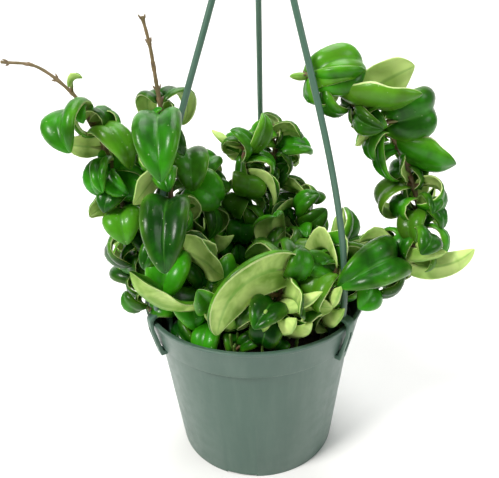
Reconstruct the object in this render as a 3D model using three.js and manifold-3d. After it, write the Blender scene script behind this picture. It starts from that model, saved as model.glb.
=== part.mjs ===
// A rope hoya in a green plastic hanging pot: pot, soil, three-strand hanger with its hook, and leafy stems.
// Millimetres, +Z up, the pot's axis on Z and its foot at z = 0. The photograph looks along +Y.
import * as THREE from "three";
import { mergeVertices } from "three/addons/utils/BufferGeometryUtils.js";
import Module from "manifold-3d";

const wasm = await Module();
wasm.setup();

// Pot, a six inch hanging pot
const potHeight = 116;
const rimRadius = 76;
const lipHeight = 2;
const bandTopRadius = 75;
const bandFootRadius = 71.2;
const bandFootZ = 95.5;
const wallTopRadius = 68.4;
const footRadius = 57.2;
const wallThickness = 1.8;
const floorThickness = 2.4;
const padRadius = 22;
const channelRadius = 46;
const channelHeight = 2.6;
const notchWidth = 21;
const notchHeight = 1.7;
const notchCount = 4;
const firstNotchAngle = -102;
const drainHoleRadius = 3.5;
const drainCircleRadius = 34;
const drainCount = 8;
const potSides = 32;

// Soil, and the gap that pieces which touch keep
const gap = 0.3;
const soilEdgeZ = 100;
const soilMound = 3;
const soilFootZ = channelHeight + floorThickness + gap;
const stemHoleRadius = 3.3;

// Hanger: three strands that clip over the rim and meet at a hub under a hook
const strandRadius = 1.9;
const strandSides = 8;
const strandSteps = 11;
const strandAngles = { strand_left: 211, strand_back: 84, strand_right: -41 };
const strandRise = 85;
const strandSwell = 6;
const strandGather = 14;
const strandDrop = 74;
const strandSpread = 5;
const hub = new THREE.Vector3(6, -2, 381);
const hubRadius = 8.5;
const hubHeight = 16;
const hookRadius = 2.6;
const hookLoop = 12;
const hookNeck = 14;
const clipWidth = 6.5;
const clipThickness = 2.4;
const clipSpan = 13;
const clipInnerFootZ = 105;
const clipCrownZ = 122.5;
const clipFootZ = 91;
const clipSlot = { width: 2, foot: 97, top: 113 };

// Stems and leaves
const bladeThickness = 1.5;
const petioleRadius = 1.1;
const petioleFootRadius = 0.6;
const stemSides = 5;
const clearance = 0.35;
const mostCrossings = { leaves: 2, grow: 0 };
const growSizes = [1, 0.75];
const sectionSteps = 24;
const lobeReach = 0.3;

const radians = (degrees) => (degrees * Math.PI) / 180;

// A random draw that gives the same numbers each time
function seeded(seed) {
  let state = seed;
  return () => {
    state = (state * 1664525 + 1013904223) % 4294967296;
    return state / 4294967296;
  };
}

// A closed three.js geometry as a solid
function solidOf(geometry) {
  const loose = () => mergeVertices(geometry.deleteAttribute("normal").deleteAttribute("uv"));
  const bare = geometry.index ? geometry : loose();
  bare.deleteAttribute("normal");
  bare.deleteAttribute("uv");
  const merged = mergeVertices(bare, 1e-4);
  const vertProperties = merged.attributes.position.array;
  const triVerts = new Uint32Array(merged.index.array);
  return new wasm.Manifold(new wasm.Mesh({ numProp: 3, vertProperties, triVerts }));
}

// A solid as a three.js geometry
function geometryOf(solid) {
  const mesh = solid.getMesh();
  const geometry = new THREE.BufferGeometry();
  geometry.setAttribute("position", new THREE.BufferAttribute(mesh.vertProperties, mesh.numProp));
  geometry.setIndex(new THREE.BufferAttribute(mesh.triVerts, 1));
  return geometry;
}

// The largest body of a solid, without loose scraps and sealed hollows
function wholeBody(solid) {
  return solid.decompose().reduce((best, body) => (body.volume() > best.volume() ? body : best));
}

const join = (solids) => solids.reduce((joined, solid) => joined.add(solid));
const cutAll = (body, cuts) => cuts.reduce((left, cut) => left.subtract(cut), body);

// A profile of [radius, height] points turned about Z
function turned(profile, sides) {
  const points = profile.map(([radius, z]) => new THREE.Vector2(radius, z));
  return new THREE.LatheGeometry(points, sides).rotateX(Math.PI / 2);
}

// A rod of even, round section along a curve
function rod(curve, radius, sides, steps) {
  const section = new THREE.Shape();
  section.absarc(0, 0, radius, 0, 2 * Math.PI);
  return new THREE.ExtrudeGeometry(section, {
    steps,
    extrudePath: curve,
    curveSegments: sides / 2,
    bevelEnabled: false,
  });
}

// A rod whose radius goes evenly from the first value to the second
function taperedRod(curve, [startRadius, endRadius], sides, steps) {
  const frames = curve.computeFrenetFrames(steps, false);
  const points = [];
  const index = [];
  for (let step = 0; step <= steps; step++) {
    const centre = curve.getPointAt(step / steps);
    const radius = startRadius + ((endRadius - startRadius) * step) / steps;
    for (let side = 0; side < sides; side++) {
      const angle = (2 * Math.PI * side) / sides;
      const corner = centre
        .clone()
        .addScaledVector(frames.normals[step], radius * Math.cos(angle))
        .addScaledVector(frames.binormals[step], radius * Math.sin(angle));
      points.push(corner.x, corner.y, corner.z);
    }
  }
  for (let step = 0; step < steps; step++) {
    for (let side = 0; side < sides; side++) {
      const [a, b] = [step * sides + side, step * sides + ((side + 1) % sides)];
      index.push(a, b, b + sides, a, b + sides, a + sides);
    }
  }
  const end = steps * sides;
  for (let side = 1; side < sides - 1; side++) {
    index.push(0, side + 1, side, end, end + side, end + side + 1);
  }
  const geometry = new THREE.BufferGeometry();
  geometry.setAttribute("position", new THREE.BufferAttribute(new Float32Array(points), 3));
  geometry.setIndex(index);
  return geometry;
}

// The pot's inside radius below the band
const insideRadius = (z) => footRadius + ((wallTopRadius - footRadius) * z) / bandFootZ - wallThickness;

// Pot: thin tapered wall, flared band with a lip, a pad and a foot ring round a drained channel
function makePot() {
  const floorTop = channelHeight + floorThickness;
  const profile = [
    [0, 0],
    [padRadius, 0],
    [padRadius, channelHeight],
    [channelRadius, channelHeight],
    [channelRadius, 0],
    [footRadius, 0],
    [wallTopRadius, bandFootZ - 0.8],
    [bandFootRadius, bandFootZ],
    [bandTopRadius, potHeight - lipHeight - 0.2],
    [rimRadius, potHeight - lipHeight],
    [rimRadius, potHeight],
    [bandTopRadius - wallThickness, potHeight],
    [bandFootRadius - wallThickness, bandFootZ + 1.2],
    [wallTopRadius - wallThickness, bandFootZ],
    [insideRadius(floorTop), floorTop],
    [0, floorTop],
  ];
  const cuts = [];
  for (let i = 0; i < notchCount; i++) {
    const notch = new THREE.BoxGeometry(24, notchWidth, notchHeight * 2);
    notch.translate((channelRadius + footRadius) / 2, 0, 0);
    notch.rotateZ(radians(firstNotchAngle + (i * 360) / notchCount));
    cuts.push(solidOf(notch));
  }
  for (let i = 0; i < drainCount; i++) {
    const hole = new THREE.CylinderGeometry(drainHoleRadius, drainHoleRadius, floorTop * 3, 6);
    hole.rotateX(Math.PI / 2);
    hole.translate(drainCircleRadius, 0, 0);
    hole.rotateZ(radians(firstNotchAngle + ((i + 0.5) * 360) / drainCount));
    cuts.push(solidOf(hole));
  }
  return cutAll(solidOf(turned(profile, potSides)), cuts);
}

// Soil: fills the pot to below the band's top, slightly mounded, with a plain hole for each stem
function makeSoil(stemFeet) {
  const edge = insideRadius(bandFootZ) - gap;
  const profile = [
    [0, soilFootZ],
    [insideRadius(soilFootZ) - gap, soilFootZ],
    [edge, bandFootZ],
    [edge, soilEdgeZ],
    [edge * 0.6, soilEdgeZ + soilMound],
    [0, soilEdgeZ + soilMound],
  ];
  const holes = stemFeet.map((foot) => {
    const hole = new THREE.CylinderGeometry(stemHoleRadius, stemHoleRadius, 40, 6);
    hole.rotateX(Math.PI / 2);
    return solidOf(hole.translate(foot.x, foot.y, foot.z - gap + 20));
  });
  return cutAll(solidOf(turned(profile, potSides)), holes);
}

// Side view of a clip: a leg inside the rim, a crown over it and a leg that hooks under the band
function clipOutline() {
  const t = clipThickness;
  const outer = rimRadius + 0.4;
  const inner = outer - clipSpan + t;
  const middle = (outer + inner) / 2;
  const legTop = potHeight + 1;
  const shape = new THREE.Shape();
  shape.moveTo(outer, potHeight - 4);
  shape.lineTo(outer, legTop);
  shape.quadraticCurveTo(outer - 0.5, clipCrownZ - t, middle, clipCrownZ - t);
  shape.quadraticCurveTo(inner + 0.5, clipCrownZ - t, inner, legTop);
  shape.lineTo(inner, clipInnerFootZ);
  shape.lineTo(inner - t * 0.8, clipInnerFootZ);
  shape.lineTo(inner - t, legTop + 1);
  shape.quadraticCurveTo(inner - t + 0.5, clipCrownZ, middle, clipCrownZ);
  shape.quadraticCurveTo(outer + t - 0.5, clipCrownZ, outer + t, legTop + 1);
  shape.lineTo(outer + t - 0.6, potHeight - 6);
  shape.lineTo(bandFootRadius + t, clipFootZ);
  shape.lineTo(wallTopRadius + 0.6, clipFootZ);
  shape.lineTo(wallTopRadius + 0.8, bandFootZ - 1.6);
  shape.lineTo(bandFootRadius + 0.6, bandFootZ - 1);
  return shape;
}

function makeClip(angle) {
  const clip = new THREE.ExtrudeGeometry(clipOutline(), {
    depth: clipWidth,
    bevelEnabled: false,
    curveSegments: 4,
  });
  clip.translate(0, 0, -clipWidth / 2).rotateX(Math.PI / 2);
  const slot = new THREE.BoxGeometry(20, clipSlot.width, clipSlot.top - clipSlot.foot);
  slot.translate(rimRadius + 8, 0, (clipSlot.top + clipSlot.foot) / 2);
  return solidOf(clip).subtract(solidOf(slot)).rotate([0, 0, angle]);
}

// The strand's route from its clip up to its socket in the hub
function strandCurve(angle) {
  const out = new THREE.Vector3(Math.cos(radians(angle)), Math.sin(radians(angle)), 0);
  const at = (centre, reach, z) => centre.clone().addScaledVector(out, reach).setZ(z);
  const axis = new THREE.Vector3();
  const foot = rimRadius - 4;
  const footZ = clipCrownZ - 2;
  return new THREE.CubicBezierCurve3(
    at(axis, foot, footZ),
    at(axis, foot + strandSwell, footZ + strandRise),
    at(hub, strandGather, hub.z - strandDrop),
    at(hub, strandSpread, hub.z),
  );
}

function makeStrand(angle) {
  const curve = strandCurve(angle);
  const strand = solidOf(rod(curve, strandRadius, strandSides, strandSteps));
  return { solid: strand.add(makeClip(angle)), curve };
}

// Hub with a socket for each strand, and the open hook above it
function makeHook(strandCurves) {
  const body = turned(
    [
      [0, 0],
      [hubRadius * 0.8, 0],
      [hubRadius, 2],
      [hubRadius, hubHeight - 5],
      [hubRadius * 0.55, hubHeight],
      [0, hubHeight],
    ],
    16,
  );
  body.translate(hub.x, hub.y, hub.z - hubHeight / 2);
  const neckZ = hub.z + hubHeight / 2 - 3;
  const centreZ = neckZ + hookNeck + hookLoop;
  const points = [
    new THREE.Vector3(hub.x, hub.y, neckZ),
    new THREE.Vector3(hub.x, hub.y, neckZ + hookNeck * 0.6),
  ];
  for (let turn = -60; turn <= 180; turn += 30) {
    const [x, z] = [Math.cos(radians(turn)), Math.sin(radians(turn))];
    points.push(new THREE.Vector3(hub.x + hookLoop * x, hub.y, centreZ + hookLoop * z));
  }
  const hookCurve = new THREE.CatmullRomCurve3(points, false, "catmullrom", 0.5);
  const hook = solidOf(rod(hookCurve, hookRadius, 8, 18));
  const sockets = strandCurves.map((curve) => {
    const top = curve.getPoint(1);
    const towards = curve.getTangent(1);
    const line = new THREE.LineCurve3(
      top.clone().addScaledVector(towards, -hubHeight),
      top.clone().addScaledVector(towards, gap),
    );
    return solidOf(taperedRod(line, [strandRadius + gap * 2, strandRadius + gap * 2], strandSides, 1));
  });
  return cutAll(solidOf(body).add(hook), sockets);
}


// Leaf forms, in degrees over the blade. bend: how far the midrib curls towards the underside.
// sickle: how far it curves sideways. twist: its turn about itself. fold: how steeply each half
// rises from the midrib. cup: how far each half then turns, + upwards. wave: the margin's ruffle
// as a share of the width.
const leafForms = {
  dome: { bend: 145, sickle: 0, twist: 0, fold: 30, cup: -115, late: 1.5, wave: 0.03 },
  heart: { bend: 120, sickle: 0, twist: 0, fold: 40, cup: -150, late: 2.6, wave: 0.02 },
  hood: { bend: 100, sickle: 0, twist: 0, fold: 40, cup: -120, late: 2, wave: 0.03 },
  shell: { bend: 185, sickle: 0, twist: 10, fold: 25, cup: -80, late: 2, wave: 0.05 },
  taco: { bend: -35, sickle: 0, twist: 8, fold: 66, cup: 10, late: 1, wave: 0.05 },
  scroll: { bend: 250, sickle: 0, twist: 15, fold: 20, cup: -50, late: 2, wave: 0.03 },
  cup: { bend: -90, sickle: 0, twist: 0, fold: 50, cup: 60, late: 1, wave: 0.06 },
  lens: { bend: 50, sickle: 20, twist: 0, fold: 25, cup: -90, late: 3, wave: 0.07 },
  boat: { bend: 55, sickle: 0, twist: 0, fold: 30, cup: -130, late: 1, wave: 0.03 },
  horn: { bend: -90, sickle: 0, twist: 0, fold: 60, cup: -70, late: 3, wave: 0.04 },
  disc: { bend: 15, sickle: 10, twist: 0, fold: 10, cup: -45, late: 2, wave: 0.05 },
  ribbon: { bend: 110, sickle: 30, twist: -12, fold: 60, cup: 20, late: 1, wave: 0.08 },
  sabre: { bend: 15, sickle: -75, twist: 0, fold: 25, cup: -40, late: 3, wave: 0.04 },
  crescent: { bend: 20, sickle: -115, twist: 0, fold: 8, cup: -150, late: 4, wave: 0.03 },
};

// The width of the blade along it, as a share of its greatest width
const outline = (u) => Math.pow(Math.sin(Math.PI * Math.pow(u, 0.78)), 0.45 + 0.2 * u);

// Rows of points along a blade, closer together at its ends
const rowPlace = (row, rows) => 0.5 - 0.5 * Math.cos((Math.PI * row) / rows);

// One half of the cross-section for a half width of 1: [out, up, slope] at each step
function halfSection(form) {
  const steps = [[0, 0, radians(form.fold) / 2]];
  const slope = (k) => radians(form.fold * Math.min(1, 0.5 + k / 0.3) + form.cup * k ** form.late);
  let [out, up] = [0, 0];
  for (let i = 1; i <= sectionSteps; i++) {
    const angle = slope((i - 0.5) / sectionSteps);
    out += Math.cos(angle) / sectionSteps;
    up += Math.sin(angle) / sectionSteps;
    steps.push([out, up, slope(i / sectionSteps)]);
  }
  return steps;
}

// A leaf's own axes: d along the petiole, n out of the upper face, s across
function leafAxes(stem, leaf, turn) {
  const tangent = stem.tangent(leaf.at);
  const d = leaf.direction.clone();
  const across = new THREE.Vector3().crossVectors(tangent, d).normalize();
  d.applyAxisAngle(across, -radians(turn.lift)).applyAxisAngle(tangent, radians(turn.round));
  const n = tangent.clone().addScaledVector(d, -tangent.dot(d)).normalize();
  n.applyAxisAngle(d, radians(leaf.roll));
  const s = new THREE.Vector3().crossVectors(d, n);
  const turning = new THREE.Vector3();
  const form = leafForms[leaf.form];
  turning.addScaledVector(d, radians(form.twist));
  turning.addScaledVector(n, radians(form.sickle));
  turning.addScaledVector(s, -radians(form.bend));
  return { d, n, s, axis: turning.clone().normalize(), whole: turning.length() };
}

// A point on the blade and the normal there: u along the midrib 0 to 1, v across it -1 to 1
function bladePoint(leaf, axes, root, section, u, v) {
  const form = leafForms[leaf.form];
  const angle = axes.whole * u;
  const sideways = new THREE.Vector3().crossVectors(axes.axis, axes.d);
  const inwards = new THREE.Vector3().crossVectors(axes.axis, sideways);
  const point = root.clone().addScaledVector(axes.d, leaf.length * u);
  point.addScaledVector(sideways, (leaf.length * (1 - Math.cos(angle))) / axes.whole);
  point.addScaledVector(inwards, leaf.length * (u - Math.sin(angle) / axes.whole));
  const up = axes.n.clone().applyAxisAngle(axes.axis, angle);
  const side = axes.s.clone().applyAxisAngle(axes.axis, angle);
  const along = axes.d.clone().applyAxisAngle(axes.axis, angle);
  const half = (leaf.width / 2) * outline(u);
  const place = Math.abs(v) * sectionSteps;
  const low = Math.min(sectionSteps - 1, Math.floor(place));
  const mix = place - low;
  const [out, rise, slope] = [0, 1, 2].map((i) => section[low][i] * (1 - mix) + section[low + 1][i] * mix);
  const ruffle = form.wave * v * v * Math.sin(2 * Math.PI * (1.7 * u + leaf.phase) + v);
  point.addScaledVector(side, Math.sign(v) * half * out);
  point.addScaledVector(up, half * (rise + 2 * ruffle));
  point.addScaledVector(along, -leaf.width * lobeReach * Math.abs(v) ** 1.5 * (1 - u) ** 4);
  const normal = up.clone().multiplyScalar(Math.cos(slope));
  normal.addScaledVector(side, -Math.sign(v) * Math.sin(slope)).normalize();
  return { point, normal };
}

// A leaf as one closed solid: four-sided petiole, then a blade of even thickness split alike on both faces
function leafSolid(stem, leaf, axes) {
  const { bend, sickle } = leafForms[leaf.form];
  const rows = 3 + (Math.abs(bend) + Math.abs(sickle) > 100 ? 1 : 0) + (leaf.length > 50 ? 1 : 0);
  const columns = leaf.length > 38 ? 4 : 2;
  const root = stem.point(leaf.at).addScaledVector(axes.d, leaf.petiole);
  const section = halfSection(leafForms[leaf.form]);
  const points = [];
  const index = [];
  const add = (point) => points.push(point.x, point.y, point.z) / 3 - 1;
  const ring = (centre, radius) =>
    [axes.n, axes.s, axes.n, axes.s].map((way, i) =>
      add(centre.clone().addScaledVector(way, i < 2 ? radius : -radius)),
    );
  const grid = (face) => {
    const corner = (row, v) => {
      const { point, normal } = bladePoint(leaf, axes, root, section, rowPlace(row, rows), v);
      return add(point.addScaledVector(normal, (face * bladeThickness) / 2));
    };
    const lines = [null];
    for (let row = 1; row < rows; row++) {
      lines.push(Array.from({ length: columns + 1 }, (_, column) => corner(row, (column / columns) * 2 - 1)));
    }
    lines.push(new Array(columns + 1).fill(corner(rows, 0)));
    return lines;
  };
  const quad = (a, b, c, d) => {
    if (b !== c) index.push(a, b, c);
    if (c !== d && a !== d) index.push(a, c, d);
  };
  const foot = ring(stem.point(leaf.at), petioleFootRadius);
  const neck = ring(root, petioleRadius);
  const [top, under] = [grid(1), grid(-1)];
  index.push(foot[0], foot[3], foot[2], foot[0], foot[2], foot[1]);
  for (let side = 0; side < 4; side++) {
    const next = (side + 1) % 4;
    quad(foot[side], foot[next], neck[next], neck[side]);
  }
  const [crown, right, keel, left] = neck;
  for (let column = 0; column < columns; column++) {
    index.push(crown, top[1][column + 1], top[1][column], keel, under[1][column], under[1][column + 1]);
  }
  index.push(crown, right, top[1][columns], right, under[1][columns], top[1][columns]);
  index.push(right, keel, under[1][columns]);
  index.push(left, crown, top[1][0], under[1][0], left, top[1][0], keel, left, under[1][0]);
  for (let row = 1; row < rows; row++) {
    const next = row + 1;
    for (let column = 0; column < columns; column++) {
      const beside = column + 1;
      quad(top[row][column], top[row][beside], top[next][beside], top[next][column]);
      quad(under[row][beside], under[row][column], under[next][column], under[next][beside]);
    }
    quad(under[row][0], top[row][0], top[next][0], under[next][0]);
    quad(top[row][columns], under[row][columns], under[next][columns], top[next][columns]);
  }
  const geometry = new THREE.BufferGeometry();
  geometry.setAttribute("position", new THREE.BufferAttribute(new Float32Array(points), 3));
  geometry.setIndex(index);
  return solidOf(geometry);
}

// A stem through hand-placed points. A place on it counts those points, so 2.5 is half way from the third
// to the fourth
function makeStem(points) {
  const through = points.map(([x, y, z]) => new THREE.Vector3(x, y, z));
  const curve = new THREE.CatmullRomCurve3(through, false, "catmullrom", 0.5);
  const last = points.length - 1;
  const point = (at) => curve.getPoint(at / last);
  const tangent = (at) => {
    const [low, high] = [Math.max(0, at - 0.05), Math.min(last, at + 0.05)];
    return point(high).sub(point(low)).normalize();
  };
  return { curve, last, point, tangent };
}

// A direction as the photograph shows it: clock 0 is up and 90 right, a lean above 0 is towards the viewer
function pictureDirection(clock, lean) {
  const [c, e] = [radians(clock), radians(lean)];
  return new THREE.Vector3(Math.sin(c) * Math.cos(e), -Math.sin(e), Math.cos(c) * Math.cos(e));
}

// Leaves placed by hand: [place on the stem, clock, lean, roll, length, width, form, petiole]
function placedLeaves(rows, draw) {
  return rows.map(([at, clock, lean, roll, length, width, form, petiole]) => ({
    at,
    direction: pictureDirection(clock, lean),
    roll,
    length,
    width,
    form,
    petiole: petiole ?? 3 + length * 0.1,
    phase: draw(),
  }));
}

// Leaves that follow a rule: opposite pairs, each pair a quarter turn on from the last
function grownLeaves(stem, rule, draw) {
  const forms = ["dome", "heart", "shell", "cup", "scroll", "ribbon"];
  const between = (low, high) => low + (high - low) * draw();
  const leaves = [];
  for (let pair = 0; pair < rule.pairs; pair++) {
    const node = rule.from + ((rule.to - rule.from) * (pair + 0.5)) / rule.pairs;
    for (const side of [0, 180]) {
      const at = node + between(-0.08, 0.08);
      const tangent = stem.tangent(at);
      const outward = new THREE.Vector3(0, -1, 0).cross(tangent).normalize();
      outward.applyAxisAngle(tangent, radians(rule.start + pair * 90 + side + between(-20, 20)));
      const rise = radians(between(50, 80));
      const length = rule.length * between(0.82, 1.18);
      leaves.push({
        at,
        direction: tangent.multiplyScalar(Math.cos(rise)).addScaledVector(outward, Math.sin(rise)),
        roll: between(-25, 25),
        length,
        width: length * between(0.66, 0.86),
        form: forms[Math.floor(draw() * forms.length)],
        petiole: 2.5 + length * 0.08,
        phase: draw(),
      });
    }
  }
  return leaves;
}

const stems = {
  vine_front_left: {
    radius: [2, 1.2],
    seed: 17,
    points: [
      [-22, -40, 86],
      [-22, -40, 104],
      [-25, -45, 120],
      [-28, -48, 136],
    ],
    leaves: [
      [2.85, -96, 27, 0, 62, 38, "horn", 3],
      [2.7, 20, 60, 180, 34, 20, "lens"],
      [2.0, -50, 60, 0, 30, 22, "dome"],
      [1.9, -110, 50, 0, 22, 17, "dome"],
      [1.6, 80, 65, 0, 32, 20, "cup"],
    ],
    grow: [{ from: 1.5, to: 3, pairs: 3, start: 20, length: 28 }],
  },
  vine_left: {
    radius: [2.1, 0.8],
    seed: 11,
    points: [
      [-58, -12, 86],
      [-58, -12, 104],
      [-66, -14, 132],
      [-74, -18, 160],
      [-79, -20, 190],
      [-84, -20, 219],
      [-93, -16, 239],
      [-101, -12, 254],
      [-121, -8, 270],
      [-143, -4, 273],
    ],
    leaves: [
      [7.1, 5, 10, 0, 11, 6, "ribbon"],
      [6.3, -50, 58, 0, 38, 33, "heart"],
      [6.35, -15, 50, 0, 18, 11, "dome"],
      [6.1, 25, 5, 0, 26, 15, "scroll", 3],
      [5.75, 52, 38, 0, 42, 23, "dome", 3],
      [5.25, -82, 15, 75, 20, 15, "lens", 3],
      [4.98, -85, 55, 0, 28, 20, "dome"],
      [4.9, -25, 60, 0, 30, 14, "heart", 3],
      [4.7, 70, -10, 0, 26, 18, "dome"],
      [4.85, 145, 15, 60, 27, 24, "disc", 2],
      [4.15, -95, 10, 60, 22, 20, "lens", 1.5],
      [3.8, 0, 55, 0, 33, 28, "dome"],
      [3.45, 70, 50, 0, 26, 18, "dome", 3],
      [3.35, -80, 30, 40, 36, 28, "shell", 3],
      [2.25, -90, 20, 60, 26, 12, "shell", 8],
    ],
    grow: [{ from: 2.2, to: 4.6, pairs: 2, start: 60, length: 26 }],
  },
  vine_mid: {
    radius: [2.2, 0.9],
    seed: 12,
    points: [
      [-48, -30, 86],
      [-48, -30, 106],
      [-48, -31, 140],
      [-48, -30, 176],
      [-48, -26, 212],
      [-49, -26, 242],
      [-51, -24, 262],
      [-53, -21, 280],
      [-56, -19, 295],
    ],
    leaves: [
      [5.4, -40, -38, -10, 34, 16, "shell", 4],
      [5.4, 38, -38, 10, 38, 17, "shell", 5],
      [4.88, 4, 62, 0, 55, 32, "heart"],
      [4.85, 88, 35, 20, 24, 14, "hood", 2],
      [4.2, -135, 25, 60, 28, 22, "disc"],
      [3.42, 4, 60, 0, 60, 34, "heart"],
      [2.75, 105, 30, -75, 32, 32, "disc", 8],
      [1.7, 50, 55, 0, 32, 26, "dome"],
      [1.25, -105, 45, 60, 30, 20, "hood", 2],
    ],
    grow: [{ from: 1.6, to: 4.4, pairs: 4, start: 70, length: 28 }],
  },
  vine_mid_b: {
    radius: [2, 1],
    seed: 13,
    points: [
      [-34, 2, 86],
      [-34, 2, 106],
      [-37, 3, 140],
      [-39, 5, 175],
      [-42, 6, 208],
    ],
    leaves: [
      [3.95, 12, 30, -20, 46, 26, "shell"],
      [3.5, -50, 30, 0, 30, 20, "dome"],
      [3.1, 80, 25, -30, 32, 22, "dome"],
      [2.7, 70, 40, 0, 30, 20, "taco"],
      [2.2, 90, 50, -40, 30, 24, "cup"],
      [2.0, -60, 30, 0, 32, 22, "cup"],
    ],
    grow: [{ from: 1.6, to: 4, pairs: 3, start: 30, length: 26 }],
  },
  vine_right: {
    radius: [2.2, 0.9],
    seed: 14,
    points: [
      [50, -24, 86],
      [50, -24, 104],
      [60, -28, 128],
      [80, -27, 144],
      [99, -21, 154],
      [107, -14, 170],
      [103, -9, 190],
      [95, -8, 209],
      [86, -9, 224],
      [70, -13, 238],
      [52, -17, 251],
      [32, -19, 263],
    ],
    leaves: [
      [9.75, 112, 28, 104, 42, 44, "boat", 1],
      [3.6, 116, 10, -78, 46, 18, "sabre", 5],
      [10.9, 48, 25, 35, 44, 30, "dome", 4],
      [10.8, 100, 45, 50, 30, 20, "hood", 4],
      [9.6, 54, -15, -80, 30, 27, "disc", 10],
      [10.9, -80, 20, 70, 12, 12, "cup", 1],
      [10.85, -150, 20, 0, 26, 18, "shell", 2],
      [10.5, 170, 40, 0, 24, 16, "dome"],
      [8.6, 76, 25, 60, 44, 38, "dome", 11],
      [8.5, -110, 10, 70, 23, 13, "lens", 1],
      [7.3, 120, 28, 108, 34, 42, "boat", 0.5],
      [8.35, -160, 15, 0, 34, 14, "hood"],
      [6.9, 110, 10, 0, 22, 14, "dome"],
      [6.15, -65, 15, -35, 46, 20, "scroll"],
      [6.1, 70, 10, -50, 38, 20, "scroll"],
      [6.4, -50, 30, 100, 20, 14, "lens"],
      [5.5, 60, 45, 0, 24, 16, "dome"],
      [5.35, -50, 60, 0, 28, 22, "dome"],
      [4.9, 75, 35, 0, 28, 18, "dome"],
      [4.6, 0, 65, 180, 18, 16, "cup"],
      [4.5, -60, 45, 0, 26, 15, "shell"],
      [4.3, 95, 25, 0, 24, 16, "dome"],
      [3.5, 60, 30, 40, 32, 18, "taco", 2],
      [3.5, 150, 45, 0, 32, 22, "dome"],
      [3.5, -8, 52, 0, 62, 36, "heart", 3],
      [2.6, 10, 50, 180, 26, 22, "disc"],
    ],
    grow: [
      { from: 2.3, to: 4.4, pairs: 3, start: 90, length: 26 },
      { from: 4.6, to: 8.8, pairs: 4, start: 60, length: 22 },
    ],
  },
  vine_right_front: {
    radius: [2, 1.2],
    seed: 15,
    points: [
      [38, -36, 86],
      [38, -36, 104],
      [44, -40, 124],
      [48, -42, 144],
      [50, -42, 156],
    ],
    leaves: [
      [3.4, -60, 50, 0, 36, 22, "shell"],
      [2.2, -30, 60, 0, 32, 22, "cup"],
      [1.6, 30, 70, 0, 30, 22, "cup"],
    ],
    grow: [{ from: 1.8, to: 4, pairs: 4, start: 0, length: 28 }],
  },
  vine_front: {
    radius: [2.1, 1.2],
    seed: 16,
    points: [
      [8, -42, 86],
      [8, -42, 104],
      [10, -47, 124],
      [16, -50, 142],
      [24, -50, 158],
    ],
    leaves: [
      [3.9, -62, 25, 90, 67, 37, "crescent", 3],
      [2.9, -70, 35, -30, 50, 22, "scroll", 14],
      [2.9, 60, 50, -70, 30, 26, "lens"],
      [2.3, 72, 55, -40, 40, 26, "cup", 5],
      [2.2, -20, 70, 0, 32, 22, "shell"],
      [1.9, 85, 60, 0, 38, 22, "cup"],
      [1.7, -70, 65, 0, 36, 22, "cup"],
      [1.6, 110, 50, 0, 38, 22, "cup"],
    ],
    grow: [{ from: 1.6, to: 3.8, pairs: 4, start: 40, length: 28 }],
  },
  vine_back_a: {
    radius: [2, 0.8],
    seed: 18,
    points: [
      [-15, 18, 86],
      [-15, 18, 104],
      [-11, 23, 150],
      [-6, 28, 186],
      [-4, 30, 213],
    ],
    leaves: [
      [3.8, 195, 20, 20, 34, 16, "lens"],
      [4, -50, 10, -40, 26, 12, "scroll"],
      [3.9, -75, 20, 60, 24, 14, "cup"],
      [3.2, 75, 40, 0, 32, 14, "ribbon"],
    ],
    grow: [{ from: 1.6, to: 3.6, pairs: 3, start: 10, length: 26 }],
  },
  vine_back_b: {
    radius: [2, 0.7],
    seed: 19,
    points: [
      [7, 36, 86],
      [7, 36, 104],
      [13, 45, 156],
      [17, 49, 190],
      [17, 50, 222],
    ],
    leaves: [
      [3.3, -60, 0, -40, 20, 11, "scroll"],
      [3.3, 55, 0, 40, 34, 16, "scroll"],
      [2.9, -85, 20, 60, 30, 14, "cup"],
      [2.6, 80, 20, -60, 24, 14, "lens"],
    ],
    grow: [{ from: 1.5, to: 3.1, pairs: 3, start: 50, length: 26 }],
  },
  vine_back_c: {
    radius: [2, 0.9],
    seed: 20,
    points: [
      [28, 26, 86],
      [28, 26, 104],
      [34, 33, 136],
      [39, 38, 166],
    ],
    leaves: [
      [2.9, -70, 20, 20, 34, 12, "ribbon"],
      [2.7, 60, 30, 0, 26, 16, "dome"],
    ],
    grow: [{ from: 1.4, to: 2.9, pairs: 3, start: 50, length: 28 }],
  },
  vine_centre: {
    radius: [2, 1.2],
    seed: 21,
    points: [
      [12, -4, 86],
      [12, -4, 104],
      [14, -4, 128],
      [18, -3, 150],
    ],
    leaves: [
      [2.8, 20, 50, 180, 30, 24, "cup"],
      [2.6, -60, 40, 0, 32, 20, "shell"],
      [2.6, 80, 45, 0, 30, 20, "dome"],
    ],
    grow: [{ from: 1.4, to: 3, pairs: 4, start: 0, length: 28 }],
  },
  vine_side_left: {
    radius: [2, 1.2],
    seed: 22,
    points: [
      [-50, 18, 86],
      [-50, 18, 104],
      [-56, 22, 128],
      [-60, 24, 150],
    ],
    leaves: [],
    grow: [{ from: 1.4, to: 3, pairs: 4, start: 0, length: 28 }],
  },
  vine_back_left: {
    radius: [2, 1.2],
    seed: 23,
    points: [
      [-26, 44, 86],
      [-26, 44, 104],
      [-30, 52, 130],
      [-32, 56, 156],
    ],
    leaves: [],
    grow: [{ from: 1.4, to: 3, pairs: 3, start: 45, length: 28 }],
  },
  vine_side_right: {
    radius: [2, 1.2],
    seed: 24,
    points: [
      [50, 8, 86],
      [50, 8, 104],
      [56, 10, 126],
      [60, 12, 146],
    ],
    leaves: [],
    grow: [{ from: 1.4, to: 3, pairs: 3, start: 45, length: 28 }],
  },
};

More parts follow.
